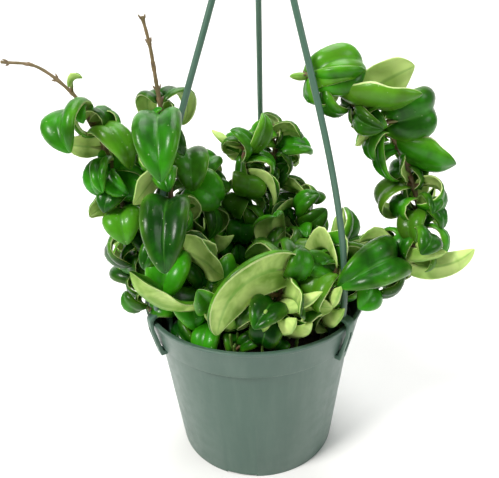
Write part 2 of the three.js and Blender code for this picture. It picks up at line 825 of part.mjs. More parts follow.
// Every piece so far, which a new leaf must keep clear of
const pieces = [];
const boxOf = (solid) => {
  const { min, max } = solid.boundingBox();
  return new THREE.Box3(new THREE.Vector3(...min), new THREE.Vector3(...max));
};
const keep = (owner, solid, isLeaf = false) => {
  pieces.push({ owner, solid, isLeaf, box: boxOf(solid).expandByScalar(clearance) });
};

// Whether a solid keeps clear of the other nodes, and how many leaves of its own stem it crosses
function neighbours(owner, solid) {
  const box = boxOf(solid);
  let crossings = 0;
  for (const piece of pieces) {
    if (!piece.box.intersectsBox(box)) continue;
    const near = solid.minGap(piece.solid, clearance * 2);
    if (piece.owner !== owner && near < clearance) return null;
    if (piece.owner === owner && piece.isLeaf && near === 0) crossings += 1;
  }
  return crossings;
}

// Places where a leaf may turn to, in degrees round its stem and up from it, nearest first
const turns = [0, 10, -10, 20, -20, 32, -32]
  .flatMap((round) => [0, 12, -12].map((lift) => ({ round, lift })))
  .sort((a, b) => Math.abs(a.round) + Math.abs(a.lift) - Math.abs(b.round) - Math.abs(b.lift));

// The leaf at the first turn that is clear of the other nodes and crosses fewest of its own
function seatAt(name, stem, leaf, most) {
  let best = null;
  for (const turn of turns) {
    const solid = leafSolid(stem, leaf, leafAxes(stem, leaf, turn));
    const crossings = neighbours(name, solid);
    if (crossings === null) continue;
    if (!best || crossings < best.crossings) best = { solid, crossings };
    if (crossings === 0) break;
  }
  if (!best || best.crossings > most) return null;
  keep(name, best.solid, true);
  return best.solid;
}

// The leaf at the first of the sizes that finds a place
function seatLeaf(name, stem, leaf, sizes, most) {
  for (const size of sizes) {
    const resized = { ...leaf, length: leaf.length * size, width: leaf.width * size };
    const seated = seatAt(name, stem, resized, most);
    if (seated) return seated;
  }
  return null;
}

const plant = {};
for (const [name, { points, radius, seed }] of Object.entries(stems)) {
  const stem = makeStem(points);
  const body = solidOf(taperedRod(stem.curve, radius, stemSides, stem.last * 2));
  plant[name] = { stem, body, grown: [body], draw: seeded(seed) };
}

const pot = makePot();
const soil = makeSoil(Object.values(plant).map(({ stem }) => stem.point(0)));
const strands = Object.fromEntries(
  Object.entries(strandAngles).map(([name, angle]) => [name, makeStrand(angle)]),
);
const hook = makeHook(Object.values(strands).map(({ curve }) => curve));

keep("pot", pot);
keep("soil", soil);
for (const [name, { solid }] of Object.entries(strands)) keep(name, solid);
for (const [name, { body }] of Object.entries(plant)) keep(name, body);

for (const source of ["leaves", "grow"]) {
  for (const [name, { stem, grown, draw }] of Object.entries(plant)) {
    const wanted =
      source === "leaves"
        ? placedLeaves(stems[name].leaves, draw)
        : stems[name].grow.flatMap((rule) => grownLeaves(stem, rule, draw));
    for (const leaf of wanted) {
      const sizes = source === "leaves" ? [1] : growSizes;
      const seated = seatLeaf(name, stem, leaf, sizes, mostCrossings[source]);
      if (seated) grown.push(seated);
    }
  }
}

// The object as a scene graph
const object = new THREE.Group();
function addMesh(name, solid, colour, roughness) {
  const material = new THREE.MeshStandardMaterial({ color: colour, roughness, metalness: 0 });
  const mesh = new THREE.Mesh(geometryOf(solid), material);
  mesh.name = name;
  object.add(mesh);
}
addMesh("pot", pot, 0x5f7c70, 0.45);
addMesh("soil", soil, 0x2b2119, 0.95);
addMesh("hanger_hook", hook, 0x5a7a6a, 0.45);
for (const [name, { solid }] of Object.entries(strands)) addMesh(`hanger_${name}`, solid, 0x5a7a6a, 0.45);
for (const [name, { grown }] of Object.entries(plant)) {
  addMesh(name, wholeBody(join(grown)).simplify(0.08), 0x2f8a2a, 0.3);
}

export default object;
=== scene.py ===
# A rope hoya in a green plastic hanging pot: thick curled leaves, brown stems, pot and three-strand hanger
from math import cos, hypot, inf, pi, radians, sin, sqrt

import bpy
import numpy as np
from mathutils import Matrix, Vector
from mathutils.kdtree import KDTree


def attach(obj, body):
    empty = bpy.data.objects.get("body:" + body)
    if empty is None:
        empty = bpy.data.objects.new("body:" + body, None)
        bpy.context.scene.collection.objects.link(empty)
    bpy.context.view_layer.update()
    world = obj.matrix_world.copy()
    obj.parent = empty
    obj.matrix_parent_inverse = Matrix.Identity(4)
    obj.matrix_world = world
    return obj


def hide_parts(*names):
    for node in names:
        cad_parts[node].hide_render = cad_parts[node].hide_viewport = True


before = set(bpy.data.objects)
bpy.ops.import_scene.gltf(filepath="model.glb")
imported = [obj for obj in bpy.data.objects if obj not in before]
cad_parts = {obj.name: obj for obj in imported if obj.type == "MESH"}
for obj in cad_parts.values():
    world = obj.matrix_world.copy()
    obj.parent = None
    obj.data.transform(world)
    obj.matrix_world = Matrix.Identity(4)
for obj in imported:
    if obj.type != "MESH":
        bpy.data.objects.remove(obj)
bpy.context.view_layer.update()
mm = 0.001
print("frame loaded:", len(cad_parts), "nodes")


# Small helpers

def seeded(seed):
    state = [seed]

    def draw():
        state[0] = (state[0] * 1664525 + 1013904223) % 4294967296
        return state[0] / 4294967296

    return draw


def between(draw, low, high):
    return low + (high - low) * draw()


def unit(vector):
    return vector / np.linalg.norm(vector, axis=-1, keepdims=True)


def rotated(vectors, axis, angles):
    # vectors turned about a unit axis, one angle for each row
    c = np.cos(angles)[..., None]
    s = np.sin(angles)[..., None]
    along = axis * np.sum(vectors * axis, -1, keepdims=True)
    return vectors * c + np.cross(axis, vectors) * s + along * (1 - c)


def addObject(name, data):
    thing = bpy.data.objects.new(name, data)
    bpy.context.scene.collection.objects.link(thing)
    return thing


def makePiece(name, points, faces, materials, faceMaterial=None, attributes=None, smooth=True):
    mesh = bpy.data.meshes.new(name)
    mesh.from_pydata((np.asarray(points) * mm).tolist(), [], faces)
    for material in materials:
        mesh.materials.append(material)
    if faceMaterial is not None:
        mesh.polygons.foreach_set("material_index", np.asarray(faceMaterial, dtype=np.int32))
    for label, values in (attributes or {}).items():
        layer = mesh.attributes.new(label, "FLOAT", "POINT")
        layer.data.foreach_set("value", np.asarray(values, dtype=np.float32))
    mesh.polygons.foreach_set("use_smooth", [smooth] * len(mesh.polygons))
    mesh.update()
    return addObject(name, mesh)


def applyModifiers(piece):
    depsgraph = bpy.context.evaluated_depsgraph_get()
    mesh = bpy.data.meshes.new_from_object(piece.evaluated_get(depsgraph))
    piece.modifiers.clear()
    piece.data = mesh


def settle(piece, slot, *nodes):
    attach(piece, "root")
    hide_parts(*nodes)


def ringFaces(rings, sides):
    # quads between rings of points, and a fan at each end to the two points that follow the rings
    faces = []
    for start in range(0, (rings - 1) * sides, sides):
        for j in range(sides):
            a, b = start + j, start + (j + 1) % sides
            faces.append((a, b, b + sides, a + sides))
    first, end = rings * sides, (rings - 1) * sides
    for j in range(sides):
        following = (j + 1) % sides
        faces += [(first, following, j), (first + 1, end + j, end + following)]
    return faces


def tube(line, radii, sides):
    # a round tube through the points of a line, without a twist; the ends are closed by a point
    line = np.asarray(line)
    tangents = unit(np.gradient(line, axis=0))
    normal = unit(np.cross(tangents[0], [0.31, 0.83, 0.46]))
    angles = np.arange(sides) * 2 * np.pi / sides
    rings = []
    for centre, tangent, radius in zip(line, tangents, radii):
        normal = unit(normal - tangent * np.dot(normal, tangent))
        across = np.cross(tangent, normal)
        rings.append(centre + radius * (np.outer(np.cos(angles), normal) + np.outer(np.sin(angles), across)))
    caps = [line[0] - tangents[0] * radii[0] * 0.5, line[-1] + tangents[-1] * radii[-1] * 0.5]
    places = np.repeat(np.arange(len(line)) / (len(line) - 1), sides)
    return np.vstack(rings + [caps]), ringFaces(len(line), sides), np.append(places, [0, 1])


# Node building

class Shader:
    # a material or a group that is put together node by node
    def __init__(self, tree):
        self.tree = tree

    def link(self, source, target):
        self.tree.links.new(source, target)

    def add(self, kind, sockets, **values):
        # a node with its settings, and its sockets linked or set; gives its outputs
        node = self.tree.nodes.new(kind)
        for label, value in values.items():
            setattr(node, label, value)
        for key, value in sockets.items():
            if isinstance(value, bpy.types.NodeSocket):
                self.link(value, node.inputs[key])
            else:
                node.inputs[key].default_value = value
        return node.outputs

    def math(self, operation, *numbers, clamp=False):
        return self.add("ShaderNodeMath", dict(enumerate(numbers)), operation=operation, use_clamp=clamp)[0]

    def plus(self, first, second):
        return self.math("ADD", first, second)

    def times(self, first, second):
        return self.math("MULTIPLY", first, second)

    def mix(self, factor, first, second):
        return self.add("ShaderNodeMix", {"Factor": factor, 6: first, 7: second}, data_type="RGBA")[2]

    def mixNumber(self, factor, first, second):
        return self.plus(self.times(factor, second - first), first)

    def spread(self, value, low, high, newLow=0.0, newHigh=1.0):
        sockets = dict(enumerate((value, low, high, newLow, newHigh)))
        return self.add("ShaderNodeMapRange", sockets, interpolation_type="SMOOTHSTEP")[0]

    def noise(self, where, scale, detail, roughness, distortion=0.0):
        sockets = {"Vector": where, "Scale": scale, "Detail": detail, "Roughness": roughness}
        return self.add("ShaderNodeTexNoise", {**sockets, "Distortion": distortion})["Fac"]

    def attribute(self, name):
        return self.add("ShaderNodeAttribute", {}, attribute_name=name)["Fac"]

    def place(self):
        return self.add("ShaderNodeTexCoord", {})["Object"]

    def group(self, group, **sockets):
        return self.add("ShaderNodeGroup", sockets, node_tree=group)


def makeGroup(name, numbers, results):
    # a node group that takes a Place and numbers, and gives numbers
    group = bpy.data.node_groups.new(name, "ShaderNodeTree")
    group.interface.new_socket("Place", in_out="INPUT", socket_type="NodeSocketVector")
    for label, value in numbers.items():
        group.interface.new_socket(label, in_out="INPUT", socket_type="NodeSocketFloat").default_value = value
    for label in results:
        group.interface.new_socket(label, in_out="OUTPUT", socket_type="NodeSocketFloat")
    return Shader(group), group.nodes.new("NodeGroupInput").outputs, group.nodes.new("NodeGroupOutput").inputs


def makeMottleGroup():
    # two scales of soft patches, 0 to 1, as living skin and moulded plastic both have
    shader, start, end = makeGroup("softMottle", {"Scale": 60.0, "Contrast": 1.0}, ("Patches", "Grain"))
    broad = shader.noise(start["Place"], start["Scale"], 3.0, 0.55, 0.4)
    fine = shader.noise(start["Place"], shader.times(start["Scale"], 9.0), 2.0, 0.6)
    uneven = shader.math("SUBTRACT", broad, 0.5)
    lifted = shader.math("MULTIPLY_ADD", uneven, start["Contrast"], 0.5, clamp=True)
    shader.link(lifted, end["Patches"])
    shader.link(fine, end["Grain"])
    return shader.tree


def makeSpeckGroup():
    # small round specks, 1 inside a speck
    shader, start, end = makeGroup("paleSpecks", {"Scale": 500.0, "Amount": 0.2}, ("Specks",))
    cells = shader.add("ShaderNodeTexVoronoi", {"Vector": start["Place"], "Scale": start["Scale"]})
    near = shader.spread(cells["Distance"], 0.1, 0.22, 1.0, 0.0)
    pick = shader.add("ShaderNodeSeparateColor", {0: cells["Color"]})[0]
    chosen = shader.math("LESS_THAN", pick, start["Amount"])
    shader.link(shader.times(near, chosen), end["Specks"])
    return shader.tree


softMottle = makeMottleGroup()
paleSpecks = makeSpeckGroup()


class Skin(Shader):
    # a material that is coloured, roughened and embossed by soft patches and a fine grain
    def __init__(self, name, scale, contrast, constants):
        self.material = bpy.data.materials.new(name)
        self.material.use_nodes = True
        super().__init__(self.material.node_tree)
        self.inputs = self.tree.nodes["Principled BSDF"].inputs
        for label, value in constants.items():
            self.inputs[label].default_value = value
        mottle = self.group(softMottle, Place=self.place(), Scale=scale, Contrast=contrast)
        self.patches, self.grain = mottle["Patches"], mottle["Grain"]

    def rough(self, low, high):
        return self.spread(self.grain, 0.2, 0.8, low, high)

    def dress(self, base, roughness, height, strength, distance):
        sockets = {"Height": height, "Strength": strength, "Distance": distance}
        normal = self.add("ShaderNodeBump", sockets)["Normal"]
        for label, source in (("Base Color", base), ("Roughness", roughness), ("Normal", normal)):
            self.link(source, self.inputs[label])
        return self.material


def colour(red, green, blue):
    # an sRGB colour 0 to 255 as the linear one that a socket takes
    def linear(value):
        value /= 255
        return value / 12.92 if value <= 0.04045 else ((value + 0.055) / 1.055) ** 2.4

    return (linear(red), linear(green), linear(blue), 1.0)


# Leaves and stems

leafSettings = {
    "thickness": 1.9, "grooveDepth": 0.216, "ribHeight": 0.5, "pucker": 0.198, "petioleRadius": 1.15,
    "petioleReach": 0.35, "underside": 0.42, "lobeReach": 0.3, "sectionSteps": 24, "growSizes": [1, 0.75],
    "growForms": ["dome", "heart", "shell", "cup", "scroll", "ribbon"],
    "cadHalfBlade": 0.75, "cadMatch": 0.03, "leastMatches": 2,
    "cadTurns": (0, 10, -10, 20, -20, 32, -32), "cadLifts": (0, 12, -12),
}

leafColours = {
    "upperDark": colour(1, 54, 3),
    "upperMid": colour(52, 150, 14),
    "upperYoung": colour(116, 172, 40),
    "underDark": colour(124, 166, 66),
    "underPale": colour(196, 221, 130),
    "margin": colour(212, 230, 156),
    "speck": colour(178, 200, 150),
    "rib": colour(70, 128, 44),
}


# What each point of a vine carries for its materials: the place along and across the blade, 1 on the upper
# face and 0 below, a random tone, and how young the leaf is
partValues = ("along", "across", "face", "tone", "age")


def makeLeafSkin():
    skin = Skin("leafSkin", 60.0, 1.9, {
        "Coat Weight": 0.05, "Coat Roughness": 0.08, "Specular IOR Level": 0.2,
        "Subsurface Weight": 0.12, "Subsurface Radius": (0.5, 1.0, 0.2), "Subsurface Scale": 0.0015,
    })
    c = leafColours
    along, across, face, tone, age = (skin.attribute(label) for label in partValues)
    side, isUpper = skin.math("ABSOLUTE", across), skin.spread(face, 0.35, 0.65)

    # upper face: dark green, brighter in patches and on young leaves, a painted sheen that pales it in
    # patches towards the margins, a faint rib
    lift = skin.plus(skin.times(skin.patches, 0.65), skin.times(tone, 0.55))
    upper = skin.mix(skin.spread(lift, 0.3, 1.15), c["upperDark"], c["upperMid"])
    upper = skin.mix(age, upper, c["upperYoung"])
    # painted sheen: the upper face is made paler in patches towards the margins, as if light fell there
    paintedSheen = skin.times(skin.spread(side, 0.5, 1.0, 0.0, 0.55), skin.patches)
    upper = skin.mix(paintedSheen, upper, c["upperYoung"])
    upper = skin.mix(skin.spread(side, 0.015, 0.07, 0.55, 0.0), upper, c["rib"])
    specks = skin.group(paleSpecks, Place=skin.place(), Scale=420.0, Amount=0.1)
    upper = skin.mix(skin.times(specks["Specks"], 0.55), upper, c["speck"])

    # under face: yellow-green, greener in patches and near the rib
    lift = skin.math("SUBTRACT", skin.plus(skin.patches, skin.times(tone, 0.5)), 0.2)
    under = skin.mix(skin.spread(lift, 0.2, 0.9), c["underDark"], c["underPale"])
    under = skin.mix(skin.spread(side, 0.02, 0.12, 0.35, 0.0), under, c["upperMid"])

    # a thin pale margin round both faces, and more gloss above than below
    rim = skin.times(skin.spread(side, 0.94, 0.97), skin.spread(along, 0.02, 0.1))
    rim = skin.times(rim, skin.spread(skin.grain, 0.3, 0.7, 0.75, 1.0))
    base = skin.mix(rim, skin.mix(isUpper, under, upper), c["margin"])
    roughness = skin.plus(skin.mixNumber(isUpper, 0.48, 0.25), skin.times(skin.grain, 0.08))
    height = skin.plus(skin.patches, skin.times(skin.grain, 0.3))
    return skin.dress(base, roughness, height, 0.35, 0.0006)


def makeStemBark():
    skin = Skin("stemBark", 160.0, 1.8, {})
    old = skin.mix(skin.patches, colour(84, 70, 52), colour(138, 116, 88))
    young = skin.mix(skin.patches, colour(92, 84, 44), colour(126, 104, 70))
    bark = skin.mix(skin.spread(skin.attribute("along"), 0.2, 0.8), old, young)
    height = skin.plus(skin.patches, skin.times(skin.grain, 0.6))
    return skin.dress(bark, skin.rough(0.5, 0.75), height, 0.6, 0.0006)


def makePetioleSkin():
    skin = Skin("petioleSkin", 220.0, 1.2, {})
    brown = skin.mix(skin.patches, colour(96, 66, 50), colour(124, 92, 62))
    green = skin.mix(skin.attribute("tone"), colour(104, 140, 56), colour(150, 168, 88))
    uneven = skin.times(skin.math("SUBTRACT", skin.patches, 0.5), 0.3)
    reach = skin.spread(skin.plus(skin.attribute("along"), uneven), 0.2, 0.62)
    return skin.dress(skin.mix(reach, brown, green), skin.rough(0.38, 0.55), skin.grain, 0.4, 0.0003)


# Leaf forms: bend is how far the midrib curls towards the underside, sickle how far it curves sideways,
# twist its turn about itself, all in degrees over the blade; fold is how steeply each half rises from the
# midrib, cup how far each half then turns, + upwards, and late how near to the margin; wave is the margin's
# ruffle as a share of the width
formKeys = ("bend", "sickle", "twist", "fold", "cup", "late", "wave")
formRows = {
    "dome": (145, 0, 0, 30, -115, 1.5, 0.03),
    "heart": (120, 0, 0, 40, -150, 2.6, 0.02),
    "hood": (100, 0, 0, 40, -120, 2, 0.03),
    "shell": (185, 0, 10, 25, -80, 2, 0.05),
    "taco": (-35, 0, 8, 66, 10, 1, 0.05),
    "scroll": (250, 0, 15, 20, -50, 2, 0.03),
    "cup": (-90, 0, 0, 50, 60, 1, 0.06),
    "lens": (50, 20, 0, 25, -90, 3, 0.07),
    "boat": (55, 0, 0, 30, -130, 1, 0.03),
    "horn": (-90, 0, 0, 60, -70, 3, 0.04),
    "disc": (15, 10, 0, 10, -45, 2, 0.05),
    "ribbon": (110, 30, -12, 60, 20, 1, 0.08),
    "sabre": (15, -75, 0, 25, -40, 3, 0.04),
    "crescent": (20, -115, 0, 8, -150, 4, 0.03),
    "curl": (300, 25, 20, 30, -90, 2, 0.06),
}
leafForms = {form: dict(zip(formKeys, row)) for form, row in formRows.items()}

# Each stem by its points in mm.
# leaves: (place, clock, lean, roll, length, width, form, petiole), where clock 0 is up and 90 right in the
#     photograph, and a lean above 0 is towards the viewer
# grow: pairs of leaves as (from, to, pairs, start, length)
# fill: small leaves between the large ones as (from, to, how many, length)
# shoots: low in the crown beside the stem, (x, y, height over the soil, lean out, leaf length)
# buds: places of small scales on the bare end
# rim: shoots as (x, y, height) with leaves of their own
stems = {
    "vine_front_left": {
        "seed": 17, "radius": (2, 1.2),
        "points": [(-22, -40, 86), (-22, -40, 104), (-25, -45, 120), (-28, -48, 136)],
        "leaves": [
            (2.85, -96, 27, 0, 62, 38, "horn", 3), (2.7, 20, 60, 180, 34, 20, "lens"),
            (2, -50, 60, 0, 30, 22, "dome"), (1.9, -110, 50, 0, 22, 17, "dome"),
            (1.6, 80, 65, 0, 32, 20, "cup"),
        ],
        "grow": [(1.5, 3, 3, 20, 28)], "fill": [(1.1, 2.9, 18, 27)],
        "shoots": [
            (-12, -57, 12, 2, 22), (-24, -26, 36, 0, 28), (-34, -50, 12, 2, 22), (-16, -60, 5, 0, 18),
            (-27, -56, 5, 0, 18), (-42, -45, 5, 0, 18),
        ],
        "rim": [
            ((-22, -50, 30), [(2.6, -80, 12, 100, 46, 22, "lens")]),
            ((-14, -57, 20), [(2.8, -40, 10, 0, 24, 20, "shell")]),
        ],
    },
    "vine_left": {
        "seed": 11, "radius": (2.1, 0.8),
        "points": [
            (-58, -12, 86), (-58, -12, 104), (-66, -14, 132), (-74, -18, 160), (-79, -20, 190),
            (-84, -20, 219), (-93, -16, 239), (-101, -12, 254), (-121, -8, 270), (-143, -4, 273),
        ],
        "leaves": [
            (7.1, 5, 10, 0, 11, 6, "ribbon"), (6.3, -50, 58, 0, 38, 33, "heart"),
            (6.35, -15, 50, 0, 18, 11, "dome"), (6.1, 25, 5, 0, 26, 15, "scroll", 3),
            (5.75, 52, 38, 0, 42, 23, "dome", 3), (5.25, -82, 15, 75, 20, 15, "lens", 3),
            (4.98, -85, 55, 0, 28, 20, "dome"), (4.9, -25, 60, 0, 30, 14, "heart", 3),
            (4.7, 70, -10, 0, 26, 18, "dome"), (4.85, 145, 15, 60, 27, 24, "disc", 2),
            (4.15, -95, 10, 60, 22, 20, "lens", 1.5), (3.8, 0, 55, 0, 33, 28, "dome"),
            (3.45, 70, 50, 0, 26, 18, "dome", 3), (3.35, -80, 30, 40, 36, 28, "shell", 3),
            (2.25, -90, 20, 60, 26, 12, "shell", 8),
        ],
        "grow": [(2.2, 4.6, 2, 60, 26)], "fill": [(1.2, 3.2, 16, 27), (3.2, 6, 8, 21)],
        "shoots": [(-62, -30, 26, 8, 26), (-64, 4, 24, 8, 26)], "buds": [7.5, 8.2, 8.8],
    },
    "vine_mid": {
        "seed": 12, "radius": (2.2, 0.9),
        "points": [
            (-48, -30, 86), (-48, -30, 106), (-48, -31, 140), (-48, -30, 176), (-48, -26, 212),
            (-49, -26, 242), (-51, -24, 262), (-53, -21, 280), (-56, -19, 295),
        ],
        "leaves": [
            (5.4, -40, -38, -10, 34, 16, "shell", 4), (5.4, 38, -38, 10, 38, 17, "shell", 5),
            (4.88, 4, 62, 0, 55, 32, "heart"), (4.85, 88, 35, 20, 24, 14, "hood", 2),
            (4.2, -135, 25, 60, 28, 22, "disc"), (3.42, 4, 60, 0, 60, 34, "heart"),
            (2.75, 105, 30, -75, 32, 32, "disc", 8), (1.7, 50, 55, 0, 32, 26, "dome"),
            (1.25, -105, 45, 60, 30, 20, "hood", 2),
        ],
        "grow": [(1.6, 4.4, 4, 70, 28)], "fill": [(1.2, 3, 14, 28), (3, 5, 6, 22)],
        "shoots": [(-40, -44, 24, 8, 28)], "buds": [5.75, 6.4, 7.1, 7.9],
    },
    "vine_mid_b": {
        "seed": 13, "radius": (2, 1),
        "points": [(-34, 2, 86), (-34, 2, 106), (-37, 3, 140), (-39, 5, 175), (-42, 6, 208)],
        "leaves": [
            (3.95, 12, 30, -20, 46, 26, "shell"), (3.5, -50, 30, 0, 30, 20, "dome"),
            (3.1, 80, 25, -30, 32, 22, "dome"), (2.7, 70, 40, 0, 30, 20, "taco"),
            (2.2, 90, 50, -40, 30, 24, "cup"), (2, -60, 30, 0, 32, 22, "cup"),
        ],
        "grow": [(1.6, 4, 3, 30, 26)], "fill": [(1.2, 3.9, 20, 27)], "shoots": [(-20, 20, 40, 0, 26)],
    },
    "vine_right": {
        "seed": 14, "radius": (2.2, 0.9),
        "points": [
            (50, -24, 86), (50, -24, 104), (60, -28, 128), (80, -27, 144), (99, -21, 154), (107, -14, 170),
            (103, -9, 190), (95, -8, 209), (86, -9, 224), (70, -13, 238), (52, -17, 251), (32, -19, 263),
        ],
        "leaves": [
            (9.75, 112, 28, 104, 42, 44, "boat", 1), (3.6, 116, 10, -78, 46, 18, "sabre", 5),
            (10.9, 48, 25, 35, 44, 30, "dome", 4), (10.8, 100, 45, 50, 30, 20, "hood", 4),
            (9.6, 54, -15, -80, 30, 27, "disc", 10), (10.9, -80, 20, 70, 12, 12, "cup", 1),
            (10.85, -150, 20, 0, 26, 18, "shell", 2), (10.5, 170, 40, 0, 24, 16, "dome"),
            (8.6, 76, 25, 60, 44, 38, "dome", 11), (8.5, -110, 10, 70, 23, 13, "lens", 1),
            (7.3, 120, 28, 108, 34, 42, "boat", 0.5), (8.35, -160, 15, 0, 34, 14, "hood"),
            (6.9, 110, 10, 0, 22, 14, "dome"), (6.15, -65, 15, -35, 46, 20, "scroll"),
            (6.1, 70, 10, -50, 38, 20, "scroll"), (6.4, -50, 30, 100, 20, 14, "lens"),
            (5.5, 60, 45, 0, 24, 16, "dome"), (5.35, -50, 60, 0, 28, 22, "dome"),
            (4.9, 75, 35, 0, 28, 18, "dome"), (4.6, 0, 65, 180, 18, 16, "cup"),
            (4.5, -60, 45, 0, 26, 15, "shell"), (4.3, 95, 25, 0, 24, 16, "dome"),
            (3.5, 60, 30, 40, 32, 18, "taco", 2), (3.5, 150, 45, 0, 32, 22, "dome"),
            (3.5, -8, 52, 0, 62, 36, "heart", 3), (2.6, 10, 50, 180, 26, 22, "disc"),
        ],
        "grow": [(2.3, 4.4, 3, 90, 26), (4.6, 8.8, 4, 60, 22)],
        "fill": [(1.2, 4.4, 24, 27), (4.4, 9.4, 22, 21), (9.4, 10.9, 4, 15)],
        "shoots": [(60, -12, 26, 8, 26), (44, -40, 24, 6, 28)], "buds": [10.5, 10.95],
    },
    "vine_right_front": {
        "seed": 15, "radius": (2, 1.2),
        "points": [(38, -36, 86), (38, -36, 104), (44, -40, 124), (48, -42, 144), (50, -42, 156)],
        "leaves": [
            (3.4, -60, 50, 0, 36, 22, "shell"), (2.2, -30, 60, 0, 32, 22, "cup"),
            (1.6, 30, 70, 0, 30, 22, "cup"),
        ],
        "grow": [(1.8, 4, 4, 0, 28)], "fill": [(1.1, 3.9, 18, 27)],
        "shoots": [
            (24, -30, 34, 4, 28), (34, -54, 14, 2, 22), (50, -38, 14, 2, 22), (42, -47, 6, 0, 19),
            (54, -28, 6, 0, 19),
        ],
        "rim": [((42, -42, 26), [(2.6, 70, 10, 0, 26, 20, "dome"), (2.9, -50, 20, 0, 26, 20, "shell")])],
    },
    "vine_front": {
        "seed": 16, "radius": (2.1, 1.2),
        "points": [(8, -42, 86), (8, -42, 104), (10, -47, 124), (16, -50, 142), (24, -50, 158)],
        "leaves": [
            (3.9, -62, 25, 90, 67, 37, "crescent", 3), (2.9, -70, 35, -30, 50, 22, "scroll", 14),
            (2.9, 60, 50, -70, 30, 26, "lens"), (2.3, 72, 55, -40, 40, 26, "cup", 5),
            (2.2, -20, 70, 0, 32, 22, "shell"), (1.9, 85, 60, 0, 38, 22, "cup"),
            (1.7, -70, 65, 0, 36, 22, "cup"), (1.6, 110, 50, 0, 38, 22, "cup"),
        ],
        "grow": [(1.6, 3.8, 4, 40, 28)], "fill": [(1.1, 3.9, 18, 27)],
        "shoots": [
            (4, -44, 28, 4, 30), (12, -57, 10, 2, 22), (26, -55, 10, 2, 22), (-4, -61, 5, 0, 18),
            (5, -61, 5, 0, 18), (15, -60, 5, 0, 18), (24, -57, 5, 0, 18), (33, -52, 5, 0, 18),
        ],
        "rim": [
            ((-10, -52, 18), [(2.4, 94, 14, -100, 38, 17, "lens")]),
            ((14, -44, 40), [(2.6, 78, 16, -88, 28, 22, "disc")]),
            ((24, -56, 18), [(2.7, -70, 20, 0, 24, 18, "shell"), (2.3, 80, 20, 0, 24, 18, "dome")]),
            ((4, -60, 16), [(2.8, 80, 30, -150, 26, 16, "scroll", 2), (2.6, -80, 20, 30, 22, 16, "dome", 2)]),
            ((-12, -60, 14), [(2.8, -60, 30, 150, 22, 15, "shell", 2), (2.5, 100, 20, 0, 18, 14, "dome", 2)]),
        ],
    },
    "vine_back_a": {
        "seed": 18, "radius": (2, 0.8),
        "points": [(-15, 18, 86), (-15, 18, 104), (-11, 23, 150), (-6, 28, 186), (-4, 30, 213)],
        "leaves": [
            (3.8, 195, 20, 20, 34, 16, "lens"), (4, -50, 10, -40, 26, 12, "scroll"),
            (3.9, -75, 20, 60, 24, 14, "cup"), (3.2, 75, 40, 0, 32, 14, "ribbon"),
        ],
        "grow": [(1.6, 3.6, 3, 10, 26)], "fill": [(1.2, 3.9, 22, 23)], "shoots": [(-6, 24, 44, 0, 26)],
    },
    "vine_back_b": {
        "seed": 19, "radius": (2, 0.7),
        "points": [(7, 36, 86), (7, 36, 104), (13, 45, 156), (17, 49, 190), (17, 50, 222)],
        "leaves": [
            (3.3, -60, 0, -40, 20, 11, "scroll"), (3.3, 55, 0, 40, 34, 16, "scroll"),
            (2.9, -85, 20, 60, 30, 14, "cup"), (2.6, 80, 20, -60, 24, 14, "lens"),
        ],
        "grow": [(1.5, 3.1, 3, 50, 26)], "fill": [(1.2, 3.9, 22, 23)], "shoots": [(14, 32, 40, 4, 26)],
    },
    "vine_back_c": {
        "seed": 20, "radius": (2, 0.9),
        "points": [(28, 26, 86), (28, 26, 104), (34, 33, 136), (39, 38, 166)],
        "leaves": [(2.9, -70, 20, 20, 34, 12, "ribbon"), (2.7, 60, 30, 0, 26, 16, "dome")],
        "grow": [(1.4, 2.9, 3, 50, 28)], "fill": [(1.2, 2.9, 18, 24)], "shoots": [(38, 44, 28, 8, 26)],
    },
    "vine_centre": {
        "seed": 21, "radius": (2, 1.2),
        "points": [(12, -4, 86), (12, -4, 104), (14, -4, 128), (18, -3, 150)],
        "leaves": [
            (2.8, 20, 50, 180, 30, 24, "cup"), (2.6, -60, 40, 0, 32, 20, "shell"),
            (2.6, 80, 45, 0, 30, 20, "dome"),
        ],
        "grow": [(1.4, 3, 4, 0, 28)], "fill": [(1.2, 2.9, 20, 26)],
        "shoots": [(8, 0, 44, 0, 28), (30, 6, 36, 4, 26)],
    },
    "vine_side_left": {
        "seed": 22, "radius": (2, 1.2),
        "points": [(-50, 18, 86), (-50, 18, 104), (-56, 22, 128), (-60, 24, 150)],
        "leaves": [],
        "grow": [(1.4, 3, 4, 0, 28)], "fill": [(1.2, 2.9, 18, 27)], "shoots": [(-44, 36, 24, 8, 26)],
    },
    "vine_back_left": {
        "seed": 23, "radius": (2, 1.2),
        "points": [(-26, 44, 86), (-26, 44, 104), (-30, 52, 130), (-32, 56, 156)],
        "leaves": [],
        "grow": [(1.4, 3, 3, 45, 28)], "fill": [(1.2, 2.9, 18, 27)], "shoots": [(-8, 58, 24, 8, 26)],
    },
    "vine_side_right": {
        "seed": 24, "radius": (2, 1.2),
        "points": [(50, 8, 86), (50, 8, 104), (56, 10, 126), (60, 12, 146)],
        "leaves": [],
        "grow": [(1.4, 3, 3, 45, 28)], "fill": [(1.2, 2.9, 18, 27)], "shoots": [(58, 24, 24, 8, 26)],
    },
}


class Stem:
    # a smooth line through given points: 2.5 is half way from the third to the fourth
    def __init__(self, points):
        self.points = np.array(points, float)
        self.last = len(points) - 1

    def point(self, at):
        low = min(self.last - 1, max(0, int(at)))
        t = at - low
        p = self.points
        before = p[low - 1] if low > 0 else 2 * p[0] - p[1]
        after = p[low + 2] if low + 2 <= self.last else 2 * p[self.last] - p[self.last - 1]
        first, second = (p[low + 1] - before) / 2, (after - p[low]) / 2
        cubed = 2 * p[low] - 2 * p[low + 1] + first + second
        squared = -3 * p[low] + 3 * p[low + 1] - 2 * first - second
        return p[low] + first * t + squared * t**2 + cubed * t**3

    def tangent(self, at):
        low, high = max(0, at - 0.05), min(self.last, at + 0.05)
        return unit(self.point(high) - self.point(low))


def pictureDirection(clock, lean):
    c, e = radians(clock), radians(lean)
    return np.array([sin(c) * cos(e), -sin(e), cos(c) * cos(e)])


